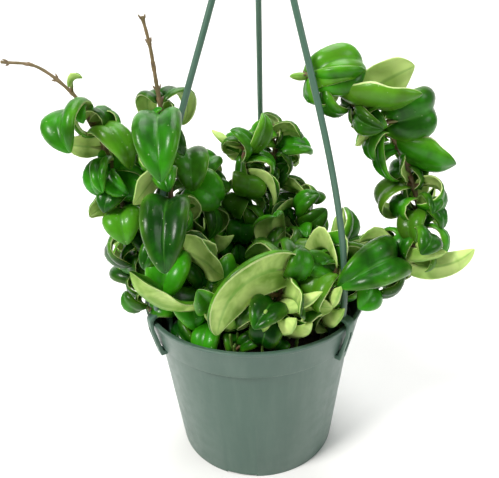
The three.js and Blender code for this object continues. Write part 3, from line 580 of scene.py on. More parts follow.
def outwards(tangent, turn, rise=pi / 2):
    # away from a stem, turned about it; rise is the angle to the stem
    outward = rotated(unit(np.cross([0, -1, 0], tangent)), tangent, turn)
    return tangent * cos(rise) + outward * sin(rise)


leafKeys = ("at", "direction", "roll", "length", "width", "form", "petiole", "phase")


def makeLeaf(*values):
    return dict(zip(leafKeys, values))


def placedLeaves(rows, draw):
    leaves = []
    for at, clock, lean, roll, length, width, form, *petiole in rows:
        reach = petiole[0] if petiole else 3 + length * 0.1
        leaves.append(makeLeaf(at, pictureDirection(clock, lean), roll, length, width, form, reach, draw()))
    return leaves


def grownLeaves(stem, rule, draw):
    low, high, pairs, start, usual = rule
    forms = leafSettings["growForms"]
    leaves = []
    for pair in range(pairs):
        node = low + (high - low) * (pair + 0.5) / pairs
        for side in (0, 180):
            at = node + between(draw, -0.08, 0.08)
            turn = radians(start + pair * 90 + side + between(draw, -20, 20))
            direction = outwards(stem.tangent(at), turn, radians(between(draw, 50, 80)))
            length = usual * between(draw, 0.82, 1.18)
            roll, width = between(draw, -25, 25), length * between(draw, 0.66, 0.86)
            form = forms[int(draw() * len(forms))]
            leaves.append(makeLeaf(at, direction, roll, length, width, form, 2.5 + length * 0.08, draw()))
    return leaves


def leafAxes(stem, leaf, turn=(0, 0)):
    # the blade's root, d along the petiole, n out of the upper face, s across, the axis that the blade curls
    # about and the whole angle of the curl; turn is (about the stem, lifted) in degrees
    form = leafForms[leaf["form"]]
    tangent = stem.tangent(leaf["at"])
    d = leaf["direction"]
    d = rotated(d, unit(np.cross(tangent, d)), -radians(turn[1]))
    d = rotated(d, tangent, radians(turn[0]))
    n = unit(tangent - d * np.dot(tangent, d))
    n = rotated(n, d, radians(leaf["roll"]))
    s = np.cross(d, n)
    turning = np.radians(form["twist"]) * d + np.radians(form["sickle"]) * n - np.radians(form["bend"]) * s
    whole = np.linalg.norm(turning)
    root = stem.point(leaf["at"]) + d * leaf["petiole"]
    return {"root": root, "d": d, "n": n, "s": s, "axis": turning / whole, "whole": whole}


def outline(u):
    return np.clip(np.sin(np.pi * u**0.78), 0, 1) ** (0.45 + 0.2 * u)


def bladeGrid(leaf, axes, u, v):
    # points and normals of the blade's middle surface: u along the midrib 0 to 1, v across it -1 to 1
    form = leafForms[leaf["form"]]
    steps = leafSettings["sectionSteps"]

    def slopeAt(k):
        return np.radians(form["fold"] * np.minimum(1, 0.5 + k / 0.3) + form["cup"] * k ** form["late"])

    middle, knots = slopeAt((np.arange(steps) + 0.5) / steps), np.arange(steps + 1) / steps
    slices = (np.cos(middle), np.sin(middle))
    outs, rises = (np.concatenate([[0], np.cumsum(part) / steps]) for part in slices)
    k, sign = np.abs(v), np.sign(v)
    out, rise, slope = (np.interp(k, knots, values) for values in (outs, rises, slopeAt(knots)))

    length, whole, axis = leaf["length"], axes["whole"], axes["axis"]
    angle = whole * u
    sideways = np.cross(axis, axes["d"])
    inwards = np.cross(axis, sideways)
    midrib = axes["root"] + axes["d"] * (length * u)[:, None]
    midrib = midrib + sideways * (length * (1 - np.cos(angle)) / whole)[:, None]
    midrib = midrib + inwards * (length * (u - np.sin(angle) / whole))[:, None]
    up, side, along = (rotated(np.tile(axes[key], (len(u), 1)), axis, angle) for key in ("n", "s", "d"))
    half = leaf["width"] / 2 * outline(u)
    ruffle = form["wave"] * v**2 * np.sin(2 * np.pi * (1.7 * u[:, None] + leaf["phase"]) + v)
    points = midrib[:, None] + side[:, None] * (half[:, None] * sign * out)[..., None]
    points = points + up[:, None] * (half[:, None] * (rise + 2 * ruffle))[..., None]
    lobes = leaf["width"] * leafSettings["lobeReach"] * (1 - u[:, None]) ** 4 * np.abs(v) ** 1.5
    points = points - along[:, None] * lobes[..., None]
    tilted = side[:, None] * (sign * np.sin(slope))[None, :, None]
    return points, up[:, None] * np.cos(slope)[None, :, None] - tilted


def cadCorners(leaf, axes):
    # the corners of the faceted blade in the frame, on both of its faces
    form = leafForms[leaf["form"]]
    rows = 3 + int(abs(form["bend"]) + abs(form["sickle"]) > 100) + int(leaf["length"] > 50)
    u = 0.5 - 0.5 * np.cos(np.pi * np.arange(1, rows + 1) / rows)
    points, normals = bladeGrid(leaf, axes, u, np.array([-1.0, 0.0, 1.0]))
    offset = normals * leafSettings["cadHalfBlade"]
    return np.vstack([(points + offset).reshape(-1, 3), (points - offset).reshape(-1, 3)])


def seatedLeaf(stem, leaf, tree, sizes):
    # how this leaf is turned and sized in the frame, where its blade corners are points of the node
    p = leafSettings
    turns = [(around, lift) for around in p["cadTurns"] for lift in p["cadLifts"]]
    turns.sort(key=lambda turn: abs(turn[0]) + abs(turn[1]))
    best, most = None, p["leastMatches"]
    for size in sizes:
        sized = {**leaf, "length": leaf["length"] * size, "width": leaf["width"] * size}
        for turn in turns:
            axes = leafAxes(stem, sized, turn)
            hits = sum(tree.find(corner * mm)[2] < p["cadMatch"] * mm for corner in cadCorners(sized, axes))
            if hits > most:
                best, most = (sized, axes), hits
    return best


class Crowd:
    # the cells of space that leaves and strands already take up
    def __init__(self, size):
        self.size = size
        self.cells = set()

    def cellsOf(self, points):
        return set(map(tuple, np.floor(points / self.size).astype(int).tolist()))

    def mark(self, points):
        self.cells |= self.cellsOf(points)

    def shareTaken(self, points):
        cells = self.cellsOf(points)
        return len(cells & self.cells) / len(cells)


def bladeSamples(leaf, axes):
    step = fillerSettings["sampleStep"]
    u = np.linspace(0.06, 1, max(8, int(leaf["length"] / step)))
    v = np.linspace(-1, 1, max(5, int(leaf["width"] / step)))
    return bladeGrid(leaf, axes, u, v)[0].reshape(-1, 3)


def bladeShell(leaf, axes):
    # the blade as a closed skin: rounded margins, a groove over the midrib, a rib under it, shallow puckers
    p = leafSettings
    rows = int(np.clip(leaf["length"] * 0.5, 10, 28))
    columns = 15 if leaf["length"] > 26 else 11
    u = 0.5 - 0.5 * np.cos(np.pi * np.arange(1, rows) / rows)
    t = np.linspace(-1, 1, columns)
    v = np.sin(np.pi / 2 * t) * 0.5 + t * 0.5
    points, normals = bladeGrid(leaf, axes, u, v)
    phase = leaf["phase"] * 2 * np.pi
    uu, vv = u[:, None], v[None, :]
    span = np.minimum(1, leaf["width"] * outline(uu) / 9)
    edge = np.sqrt(np.clip(1 - vv**8, 0, 1))
    half = p["thickness"] / 2 * edge * np.minimum(1, outline(uu) * 1.6) * (1 - 0.25 * np.abs(vv))
    bumps = np.sin(8.2 * uu + 1.9 * vv + phase)
    bumps = bumps + np.sin(12.1 * uu * (0.6 + leaf["phase"]) - 2.3 * vv + 2 * phase)
    bumps = bumps + 0.6 * np.sin(17 * uu + 2.2 * phase) * np.sin(3.1 * vv + phase)
    relief = p["pucker"] * min(1.5, leaf["length"] / 34) * bumps * span * (1 - vv**6)
    groove = p["grooveDepth"] * np.exp(-((vv / 0.1) ** 2)) * span * (1 - uu**3)
    ridge = p["ribHeight"] * np.exp(-((vv / 0.08) ** 2)) * span * (1 - uu) ** 0.7
    upper = points + normals * (relief + half - groove)[..., None]
    lower = points + normals * (relief - half - ridge)[..., None]
    ring = np.concatenate([upper, lower[:, -2:0:-1]], axis=1)
    count = ring.shape[1]
    tip = bladeGrid(leaf, axes, np.array([1.0]), np.array([0.0]))[0][0, 0]
    face = [0.5] + [1] * (columns - 2) + [0.5] + [0] * (columns - 2)
    return np.vstack([ring.reshape(-1, 3), axes["root"], tip]), ringFaces(rows - 1, count), {
        "along": np.append(np.repeat(u, count), [0, 1]),
        "across": np.append(np.tile(np.concatenate([v, v[-2:0:-1]]), rows - 1), [0, 0]),
        "face": np.append(np.tile(face, rows - 1), [0.5, 0.5]),
    }


def petioleTube(stem, leaf, axes):
    # from inside the stem to the blade, and on along the underside of the midrib until it fades
    p = leafSettings
    foot, tangent, root = stem.point(leaf["at"]), stem.tangent(leaf["at"]), axes["root"]
    points, normals = bladeGrid(leaf, axes, np.linspace(0, p["petioleReach"], 7), np.array([0.0]))
    depth = p["thickness"] * p["underside"]
    under = points[:, 0] - normals[:, 0] * depth
    t = np.linspace(0, 1, 7)[:-1, None]
    bow = tangent * 0.12 * np.linalg.norm(root - foot)
    lead = foot * (1 - t) + root * t + bow * 2 * t * (1 - t) - normals[0, 0] * t * depth
    size = p["petioleRadius"] * (0.75 + 0.25 * min(1.4, leaf["length"] / 34))
    radii = np.concatenate([np.linspace(1.25, 1.0, 6), np.linspace(1.0, 0.25, 7)]) * size
    return tube(np.vstack([lead, under]), radii, 8)


stemSettings = {"swell": 0.22, "swellReach": 0.07, "stepsEach": 12, "sides": 12, "youngFrom": 0.6}


def stemTube(stem, radius, places):
    # tapered and slightly uneven, swollen where leaves spring
    p = stemSettings
    at = np.linspace(0, stem.last, stem.last * p["stepsEach"] + 1)
    line = np.array([stem.point(a) for a in at])
    lengths = np.concatenate([[0], np.cumsum(np.linalg.norm(np.diff(line, axis=0), axis=1))])
    radii = radius[0] + (radius[1] - radius[0]) * (lengths / lengths[-1])
    for place in places:
        radii = radii * (1 + p["swell"] * np.exp(-(((at - place) / p["swellReach"]) ** 2)))
    radii = radii * (1 + 0.05 * np.sin(at * 17.0) + 0.03 * np.sin(at * 41.0))
    return tube(line, radii, p["sides"])


def budScale(stem, at, turn):
    tangent = stem.tangent(at)
    start, lean = stem.point(at), unit(outwards(tangent, turn) * 0.75 + tangent * 0.65)
    line = [start, start + lean * 1.7, start + lean * 2.6 + tangent * 0.5, start + lean * 3.1 + tangent * 1.1]
    return tube(line, [0.7, 0.75, 0.45, 0.08], 8)


fillerSettings = {
    "cell": 2.6, "sampleStep": 1.8, "taken": 0.2, "tries": 24, "turned": 0.2,
    "forms": ["dome", "dome", "shell", "scroll", "scroll", "heart", "hood", "curl", "curl"],
    "insideRim": 67.0, "outsideRim": 78.0, "rimTop": 119.0, "soilTop": 104.0,
    "shootRadius": (1.3, 0.8), "rimShootLean": 4,
    "strandShifts": [(0, 0, 0), (2, 0, 0), (-2, 0, 0), (0, 2, 0), (0, -2, 0)],
    "seenStrand": "hanger_strand_right", "towardsViewer": (-0.2, -0.9, 0.4), "besideIt": (-3, 0, 3),
    "beforeIt": range(4, 36, 2),
}


def clearOfPot(points, outside=inf):
    # outside: from this reach on a leaf may hang below the rim
    f = fillerSettings
    reach = np.hypot(points[:, 0], points[:, 1])
    low = (points[:, 2] < f["rimTop"]) & (reach > f["insideRim"]) | (points[:, 2] < f["soilTop"])
    return not np.any(low & (reach < outside))


def fillerLeaf(stem, at, length, draw):
    f = fillerSettings
    direction = outwards(stem.tangent(at), between(draw, 0, 2 * pi), radians(between(draw, 35, 95)))
    length = length * between(draw, 0.7, 1.3)
    roll = between(draw, -60, 60) + (180 if draw() < f["turned"] else 0)
    width = length * between(draw, 0.66, 0.95)
    form = f["forms"][int(draw() * len(f["forms"]))]
    return makeLeaf(at, direction, roll, length, width, form, 1.5 + length * between(draw, 0.05, 0.2), draw())


def fitted(stem, at, length, draw, crowd):
    # the first of several draws that stays clear of the pot and of the leaves so far
    for _ in range(fillerSettings["tries"]):
        leaf = fillerLeaf(stem, at, length, draw)
        axes = leafAxes(stem, leaf)
        samples = bladeSamples(leaf, axes)
        if clearOfPot(samples) and crowd.shareTaken(samples) < fillerSettings["taken"]:
            crowd.mark(samples)
            return leaf, axes
    return None


def shootStem(x, y, height, lean):
    out = np.array([x, y]) / max(1.0, hypot(x, y))
    foot = soilSettings["edgeZ"] - 6
    rises = [(0, 0), (0.12, 10), (0.5, 6 + height * 0.5), (1, 6 + height)]
    return Stem([(x + out[0] * lean * share, y + out[1] * lean * share, foot + z) for share, z in rises])


class Vine:
    # a stem with the leaves that the frame's node has; small leaves and shoots come once all vines are placed
    def __init__(self, name, rule, crowd):
        self.name, self.rule, self.crowd = name, rule, crowd
        self.stem = Stem(rule["points"])
        self.verts, self.faces, self.kinds = [], [], []
        self.attributes = {label: [] for label in partValues}
        self.look = seeded(rule["seed"] + 500)
        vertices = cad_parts[name].data.vertices
        tree = KDTree(len(vertices))
        for i, vertex in enumerate(vertices):
            tree.insert(vertex.co, i)
        tree.balance()
        draw = seeded(rule["seed"])
        wanted = [(leaf, [1]) for leaf in placedLeaves(rule["leaves"], draw)]
        for grow in rule["grow"]:
            wanted += [(leaf, leafSettings["growSizes"]) for leaf in grownLeaves(self.stem, grow, draw)]
        self.places, self.seated, self.wanted = [self.stem.last - 0.02], 0, len(wanted)
        for leaf, sizes in wanted:
            found = seatedLeaf(self.stem, leaf, tree, sizes)
            if found:
                self.seated += 1
                crowd.mark(bladeSamples(*found))
                self.addLeaf(self.stem, *found)

    def addPart(self, points, quads, kind, values):
        # kind: 0 blade, 1 bark, 2 petiole
        offset = sum(len(part) for part in self.verts)
        self.verts.append(points)
        self.faces.extend(tuple(i + offset for i in quad) for quad in quads)
        self.kinds.extend([kind] * len(quads))
        for label, column in self.attributes.items():
            value = values.get(label, 0.0)
            column.extend(value if np.ndim(value) else [value] * len(points))

    def addTube(self, parts, kind, tone=0.0):
        points, quads, along = parts
        self.addPart(points, quads, kind, {"along": along, "tone": tone})

    def addLeaf(self, stem, leaf, axes):
        tone, age = self.look(), self.look()
        young = max(0.0, (leaf["at"] / stem.last - stemSettings["youngFrom"]) * 0.2) + 0.06 * age
        young += 0.22 if age > 0.88 else 0.0
        if stem is self.stem:
            self.places.append(leaf["at"])
        points, quads, values = bladeShell(leaf, axes)
        self.addPart(points, quads, 0, {**values, "tone": tone, "age": min(0.8, young)})
        self.addTube(petioleTube(stem, leaf, axes), 2, tone)

    def placeRimLeaves(self):
        f = fillerSettings
        draw = seeded(self.rule["seed"] + 700)
        for (x, y, height), rows in self.rule.get("rim", []):
            shoot = shootStem(x, y, height, f["rimShootLean"])
            for leaf in placedLeaves(rows, draw):
                axes = leafAxes(shoot, leaf)
                samples = bladeSamples(leaf, axes)
                if clearOfPot(samples, f["outsideRim"]):
                    self.crowd.mark(samples)
                    self.addLeaf(shoot, leaf, axes)
            self.addTube(stemTube(shoot, f["shootRadius"], [row[0] for row in rows]), 2)

    def fill(self):
        draw = seeded(self.rule["seed"] + 900)
        added = 0
        for low, high, count, length in self.rule["fill"]:
            for i in range(count):
                at = low + (high - low) * (i + draw()) / count
                found = fitted(self.stem, at, length, draw, self.crowd)
                if found:
                    added += 1
                    self.addLeaf(self.stem, *found)
        for x, y, height, lean, length in self.rule["shoots"]:
            shoot = shootStem(x, y, height, lean)
            count = int(height / 3) + 4
            places = [1.3 + (shoot.last - 1.3) * (i + 0.5) / count for i in range(count)]
            found = [fitted(shoot, at, length, draw, self.crowd) for at in places]
            found = [pair for pair in found if pair]
            if len(found) > 1:
                added += len(found)
                for leaf, axes in found:
                    self.addLeaf(shoot, leaf, axes)
                places = [leaf["at"] for leaf, _ in found]
                self.addTube(stemTube(shoot, fillerSettings["shootRadius"], places), 2)
        return added

    def build(self, skins):
        added = self.fill()
        buds = self.rule.get("buds", [])
        for i, at in enumerate(buds):
            for turn in (i * 1.3, i * 1.3 + pi):
                self.addTube(budScale(self.stem, at, turn), 1)
        self.addTube(stemTube(self.stem, self.rule["radius"], self.places + buds), 1)
        points = np.vstack(self.verts)
        piece = makePiece(self.name + "_fine", points, self.faces, skins, self.kinds, self.attributes)
        settle(piece, "foliage", self.name)
        print(self.name, "leaves", self.seated, "of", self.wanted, "added", added, "faces", len(self.faces))


# Pot, soil and hanger

potSettings = {
    "height": 116, "rimRadius": 76, "lipHeight": 2, "bandTopRadius": 75, "bandFootRadius": 71.2,
    "bandFootZ": 95.5, "wallTopRadius": 68.4, "footRadius": 57.2, "wall": 1.8, "floor": 2.4, "padRadius": 22,
    "channelRadius": 46, "channelHeight": 2.6, "notchWidth": 21, "notchLength": 24, "notchHeight": 1.7,
    "notchCount": 4, "firstNotchAngle": -102, "drainRadius": 3.5, "drainCircle": 34, "drainCount": 8,
    "sides": 144, "edgeRadius": 0.55, "sharpAngle": 40,
}


def makePotPlastic():
    skin = Skin("potPlastic", 14.0, 1.2, {
        "Subsurface Weight": 0.2, "Subsurface Radius": (0.7, 1.0, 0.85), "Subsurface Scale": 0.002,
    })
    stretched = skin.add("ShaderNodeMapping", {"Vector": skin.place(), "Scale": (30.0, 30.0, 3.0)})[0]
    streaks = skin.noise(stretched, 4.0, 4.0, 0.6)
    base = skin.mix(skin.patches, colour(66, 93, 81), colour(78, 105, 93))
    base = skin.mix(skin.spread(streaks, 0.35, 0.75, 0.0, 0.35), base, colour(98, 120, 108))
    height = skin.plus(skin.times(skin.grain, 0.25), streaks)
    return skin.dress(base, skin.rough(0.32, 0.44), height, 0.12, 0.0006)


def plainSkin(name, scale, contrast, dark, pale, rough, strength, distance):
    skin = Skin(name, scale, contrast, {})
    base = skin.mix(skin.patches, colour(*dark), colour(*pale))
    return skin.dress(base, skin.rough(*rough), skin.grain, strength, distance)


def arc(start, control, end, steps):
    # points of a quadratic curve, from its start to its end
    t = np.linspace(0, 1, steps + 1)[:, None]
    start, control, end = (np.array(point, float) for point in (start, control, end))
    return list(start * (1 - t) ** 2 + control * 2 * t * (1 - t) + end * t**2)


def rounded(profile, radius, steps=3):
    # a closed-off [radius, height] line with its corners rounded
    corners = [np.array(corner, float) for corner in profile]
    line = [corners[0]]
    for before, corner, after in zip(corners, corners[1:], corners[2:]):
        reach = min(radius, np.linalg.norm(corner - before) * 0.45, np.linalg.norm(after - corner) * 0.45)
        start, end = (corner + unit(beside - corner) * reach for beside in (before, after))
        line += arc(start, corner, end, steps)
    return line + [corners[-1]]


def circle(radius, z, angles):
    return np.stack([radius * np.cos(angles), radius * np.sin(angles), z + np.zeros(len(angles))], 1)


def turned(name, profile, sides, materials):
    # a profile that starts and ends on the axis, turned about Z
    angles = np.arange(sides) * 2 * np.pi / sides
    rings = [circle(radius, z, angles) for radius, z in profile[1:-1]]
    points = np.vstack(rings + [[[0, 0, profile[0][1]], [0, 0, profile[-1][1]]]])
    return makePiece(name, points, ringFaces(len(rings), sides), materials)


def cutBy(piece, cutters):
    for cutter in cutters:
        cut = piece.modifiers.new("cut", "BOOLEAN")
        cut.operation, cut.solver, cut.object = "DIFFERENCE", "EXACT", cutter
    applyModifiers(piece)
    for cutter in cutters:
        bpy.data.objects.remove(cutter)


def boxPiece(name, centre, size, angle=0.0):
    ends = (-0.5, 0.5)
    corners = np.array([[x, y, z] for x in ends for y in ends for z in ends]) * size + centre
    c, s = cos(radians(angle)), sin(radians(angle))
    corners[:, :2] = corners[:, :2] @ np.array([[c, s], [-s, c]])
    faces = [(0, 1, 3, 2), (4, 6, 7, 5), (0, 4, 5, 1), (2, 3, 7, 6), (0, 2, 6, 4), (1, 5, 7, 3)]
    return makePiece(name, corners, faces, [], smooth=False)


def sharpen(piece, degrees):
    # flat-looking faces stay crisp where they meet at more than this angle
    piece.data.polygons.foreach_set("use_smooth", [True] * len(piece.data.polygons))
    piece.data.set_sharp_from_angle(angle=radians(degrees))


def insideRadius(z):
    p = potSettings
    return p["footRadius"] + (p["wallTopRadius"] - p["footRadius"]) * z / p["bandFootZ"] - p["wall"]


def makePot(plastic):
    p = potSettings
    z, lipZ, floorTop = p["channelHeight"], p["height"] - p["lipHeight"], p["channelHeight"] + p["floor"]
    bandZ, wall = p["bandFootZ"], p["wall"]
    profile = [
        (0, 0), (p["padRadius"], 0), (p["padRadius"], z), (p["channelRadius"], z), (p["channelRadius"], 0),
        (p["footRadius"], 0), (p["wallTopRadius"], bandZ - 0.8), (p["bandFootRadius"], bandZ),
        (p["bandTopRadius"], lipZ - 0.2), (p["rimRadius"], lipZ), (p["rimRadius"], p["height"]),
        (p["bandTopRadius"] - wall, p["height"]), (p["bandFootRadius"] - wall, bandZ + 1.2),
        (p["wallTopRadius"] - wall, bandZ), (insideRadius(floorTop), floorTop), (0, floorTop),
    ]
    pot = turned("pot_fine", rounded(profile, p["edgeRadius"]), p["sides"], [plastic])
    cutters = []
    for i in range(p["notchCount"]):
        centre = ((p["channelRadius"] + p["footRadius"]) / 2, 0, 0)
        size = (p["notchLength"], p["notchWidth"], p["notchHeight"] * 2)
        cutters.append(boxPiece("notch", centre, size, p["firstNotchAngle"] + i * 360 / p["notchCount"]))
    for i in range(p["drainCount"]):
        angle = radians(p["firstNotchAngle"] + (i + 0.5) * 360 / p["drainCount"])
        hole = turned("hole", [(0, -9), (p["drainRadius"], -9), (p["drainRadius"], 15), (0, 15)], 24, [])
        reach = p["drainCircle"] * mm
        hole.data.transform(Matrix.Translation((reach * cos(angle), reach * sin(angle), 0)))
        cutters.append(hole)
    cutBy(pot, cutters)
    sharpen(pot, p["sharpAngle"])
    settle(pot, "pot_plastic", "pot")


soilSettings = {
    "edgeZ": 100, "mound": 3, "gap": 0.3, "rings": 26, "sides": 96, "uneven": 0.35, "unevenLimit": 0.8,
    "crumbs": 900, "crumbSize": (0.7, 2.4), "seed": 71,
}


def makeSoil(crumbly):
    # a mound of soil under loose crumbs, each an uneven octahedron
    p = soilSettings
    rng = np.random.default_rng(p["seed"])
    edge = insideRadius(potSettings["bandFootZ"]) - p["gap"]
    bottomZ = potSettings["channelHeight"] + potSettings["floor"] + p["gap"]

    def surfaceZ(radius):
        return p["edgeZ"] + p["mound"] * min(1, (1 - radius / edge) / 0.4)

    angles = np.arange(p["sides"]) * 2 * np.pi / p["sides"]
    lines = [(insideRadius(bottomZ) - p["gap"], bottomZ), (edge, potSettings["bandFootZ"])]
    radii = [edge * (1 - i / p["rings"]) for i in range(p["rings"])]
    lines += [(radius, surfaceZ(radius)) for radius in radii]
    parts = []
    for i, (radius, z) in enumerate(lines):
        uneven = rng.normal(0, p["uneven"], p["sides"]) if i > 2 else 0
        parts.append(circle(radius, z + np.clip(uneven, -p["unevenLimit"], p["unevenLimit"]), angles))
    parts.append([[0, 0, bottomZ], [0, 0, p["edgeZ"] + p["mound"]]])
    parts, faces = [np.vstack(parts)], ringFaces(len(lines), p["sides"])
    corners = np.array([[1, 0, 0], [-1, 0, 0], [0, 1, 0], [0, -1, 0], [0, 0, 1], [0, 0, -1]], float)
    crumbFaces = [(0, 2, 4), (2, 1, 4), (1, 3, 4), (3, 0, 4), (2, 0, 5), (1, 2, 5), (3, 1, 5), (0, 3, 5)]
    for _ in range(p["crumbs"]):
        radius, angle = edge * 0.97 * sqrt(rng.random()), rng.random() * 2 * pi
        size = rng.uniform(*p["crumbSize"])
        turn = np.linalg.qr(rng.normal(size=(3, 3)))[0]
        shape = (corners * rng.uniform(0.6, 1.1, (6, 1)) * size / 2) @ turn
        offset = sum(len(part) for part in parts)
        parts.append(shape + [radius * cos(angle), radius * sin(angle), surfaceZ(radius) + size * 0.15])
        flip = np.linalg.det(turn) < 0
        faces += [tuple(i + offset for i in (face[::-1] if flip else face)) for face in crumbFaces]
    settle(makePiece("soil_fine", np.vstack(parts), faces, [crumbly]), "soil", "soil")


hangerSettings = {
    "strandRadius": 1.9, "rise": 85, "swell": 6, "gather": 14, "drop": 74, "spread": 5,
    "angles": {"hanger_strand_left": 211, "hanger_strand_back": 84, "hanger_strand_right": -41},
    "hub": (6, -2, 381), "hubRadius": 8.5, "hubHeight": 16,
    "hookRadius": 2.6, "hookLoop": 12, "hookNeck": 14,
    "clipWidth": 6.5, "clipThickness": 2.4, "clipSpan": 13, "clipInnerFootZ": 105, "clipCrownZ": 122.5,
    "clipFootZ": 91, "slotWidth": 2, "slotFoot": 97, "slotTop": 113, "bevel": 0.45,
    "rodSides": 20, "sharpAngle": 42,
}


def strandLine(angle, count):
    h = hangerSettings
    out = np.array([cos(radians(angle)), sin(radians(angle)), 0])
    foot, footZ = potSettings["rimRadius"] - 4, h["clipCrownZ"] - 2
    hub = np.array(h["hub"], float)

    def at(centre, reach, z):
        return np.append((centre + out * reach)[:2], z)

    a, b = at(np.zeros(3), foot, footZ), at(np.zeros(3), foot + h["swell"], footZ + h["rise"])
    c, d = at(hub, h["gather"], hub[2] - h["drop"]), at(hub, h["spread"], hub[2])
    t = np.linspace(0, 1, count)[:, None]
    return a * (1 - t) ** 3 + 3 * b * t * (1 - t) ** 2 + 3 * c * t**2 * (1 - t) + d * t**3


def clipOutline():
    # side view of a clip: a leg inside the rim, a crown over it and a leg that hooks under the band
    h, p = hangerSettings, potSettings
    t, crown, footZ, innerZ = h["clipThickness"], h["clipCrownZ"], h["clipFootZ"], h["clipInnerFootZ"]
    outer, legTop = p["rimRadius"] + 0.4, p["height"] + 1
    inner = outer - h["clipSpan"] + t
    middle = (outer + inner) / 2
    line = [(outer, p["height"] - 4), (outer, legTop)]

    def curve(control, end):
        line.extend(arc(line[-1], control, end, 8)[1:])

    curve((outer - 0.5, crown - t), (middle, crown - t))
    curve((inner + 0.5, crown - t), (inner, legTop))
    line += [(inner, innerZ), (inner - t * 0.8, innerZ), (inner - t, legTop + 1)]
    curve((inner - t + 0.5, crown), (middle, crown))
    curve((outer + t - 0.5, crown), (outer + t, legTop + 1))
    line += [
        (outer + t - 0.6, p["height"] - 6), (p["bandFootRadius"] + t, footZ),
        (p["wallTopRadius"] + 0.6, footZ), (p["wallTopRadius"] + 0.8, p["bandFootZ"] - 1.6),
        (p["bandFootRadius"] + 0.6, p["bandFootZ"] - 1),
    ]
    return np.vstack(line)


def joinRod(piece, line, radius, node):
    # adds a round rod along a line to the piece's mesh, and hands the piece over in the node's place
    h = hangerSettings
    tubePoints, tubeFaces, _ = tube(line, np.full(len(line), radius), h["rodSides"])
    rod = makePiece("rod", tubePoints, tubeFaces, [])
    points, faces = [], []
    for mesh in (piece.data, rod.data):
        offset = len(points)
        points += [tuple(vertex.co) for vertex in mesh.vertices]
        faces += [tuple(i + offset for i in polygon.vertices) for polygon in mesh.polygons]
    joined = bpy.data.meshes.new(piece.name)
    joined.from_pydata(points, [], faces)
    for material in piece.data.materials:
        joined.materials.append(material)
    piece.data = joined
    bpy.data.objects.remove(rod)
    piece.name = node + "_fine"
    sharpen(piece, h["sharpAngle"])
    settle(piece, "hanger_plastic", node)


def makeStrand(name, angle, plastic):
    h = hangerSettings
    side = clipOutline()
    count, half = len(side), h["clipWidth"] / 2
    flanks = [np.stack([side[:, 0], np.full(count, y), side[:, 1]], 1) for y in (-half, half)]
    faces = [tuple(range(count)), tuple(range(2 * count - 1, count - 1, -1))]
    faces += [(i, count + i, count + (i + 1) % count, (i + 1) % count) for i in range(count)]
    clip = makePiece("clip", np.vstack(flanks), faces, [plastic])
    bevel = clip.modifiers.new("soften", "BEVEL")
    bevel.width, bevel.segments, bevel.limit_method = h["bevel"] * mm, 2, "ANGLE"
    bevel.angle_limit = radians(40)
    applyModifiers(clip)
    centre = (potSettings["rimRadius"] + 8, 0, (h["slotTop"] + h["slotFoot"]) / 2)
    cutBy(clip, [boxPiece("slot", centre, (20, h["slotWidth"], h["slotTop"] - h["slotFoot"]))])
    clip.data.transform(Matrix.Rotation(radians(angle), 4, "Z"))
    joinRod(clip, strandLine(angle, 60), h["strandRadius"], name)


def makeHook(plastic):
    h = hangerSettings
    radius, height, loop = h["hubRadius"], h["hubHeight"], h["hookLoop"]
    profile = [(0, 0), (radius * 0.8, 0), (radius, 2), (radius, height - 5)]
    profile += [(radius * 0.55, height), (0, height)]
    hub = turned("hub", rounded(profile, 0.7), 48, [plastic])
    x, y, z = h["hub"]
    hub.data.transform(Matrix.Translation((x * mm, y * mm, (z - height / 2) * mm)))
    neckZ = z + height / 2 - 3
    centreZ = neckZ + h["hookNeck"] + loop
    knots = [(x, y, neckZ), (x, y, neckZ + h["hookNeck"] * 0.6)]
    knots += [(x + loop * cos(a), y, centreZ + loop * sin(a)) for a in map(radians, range(-60, 181, 30))]
    route = Stem(knots)
    joinRod(hub, [route.point(at) for at in np.linspace(0, route.last, 90)], h["hookRadius"], "hanger_hook")


# Room, light and camera

cameraSettings = {
    "place": (0, -0.3214, 0.2959), "pitch": 0.4128, "yaw": -0.0067, "roll": -0.0291,
    "focal": 518.87, "imageWidth": 499,
}


def makeCamera():
    c = cameraSettings
    pitch, yaw, roll = c["pitch"], c["yaw"], c["roll"]
    ahead = Vector((sin(yaw) * cos(pitch), cos(yaw) * cos(pitch), -sin(pitch)))
    level = Vector((cos(yaw), -sin(yaw), 0))
    above = level.cross(ahead)
    right = level * cos(roll) + above * sin(roll)
    up = above * cos(roll) - level * sin(roll)
    camera = addObject("camera", bpy.data.cameras.new("camera"))
    camera.data.sensor_width = 36
    camera.data.sensor_fit = "HORIZONTAL"
    camera.data.lens = c["focal"] / c["imageWidth"] * 36
    camera.data.clip_start = 0.01
    camera.matrix_world = Matrix.Translation(c["place"]) @ Matrix((right, up, -ahead)).transposed().to_4x4()
    bpy.context.scene.camera = camera


roomSettings = {
    "floorColour": (0.93, 0.925, 0.915, 1), "floorShade": 0.985, "reach": 3200, "rise": 3600, "bend": 1200,
    "worldColour": (1.0, 1.0, 1.0, 1), "worldStrength": 0.15, "worldSeen": 0.95,
    "lights": [
        # place, aimed at, size, power, colour
        ((-1.7, -1.3, 2.7), (0, 0.3, 0.1), 1.1, 113.0, (1.0, 0.985, 0.96)),
        ((2.4, -1.0, 1.9), (0, 0.3, 0.1), 1.5, 24.0, (0.97, 0.99, 1.0)),
        ((0.3, 1.0, 2.9), (0, 0.8, 0), 2.2, 64.0, (1.0, 1.0, 1.0)),
    ],
}


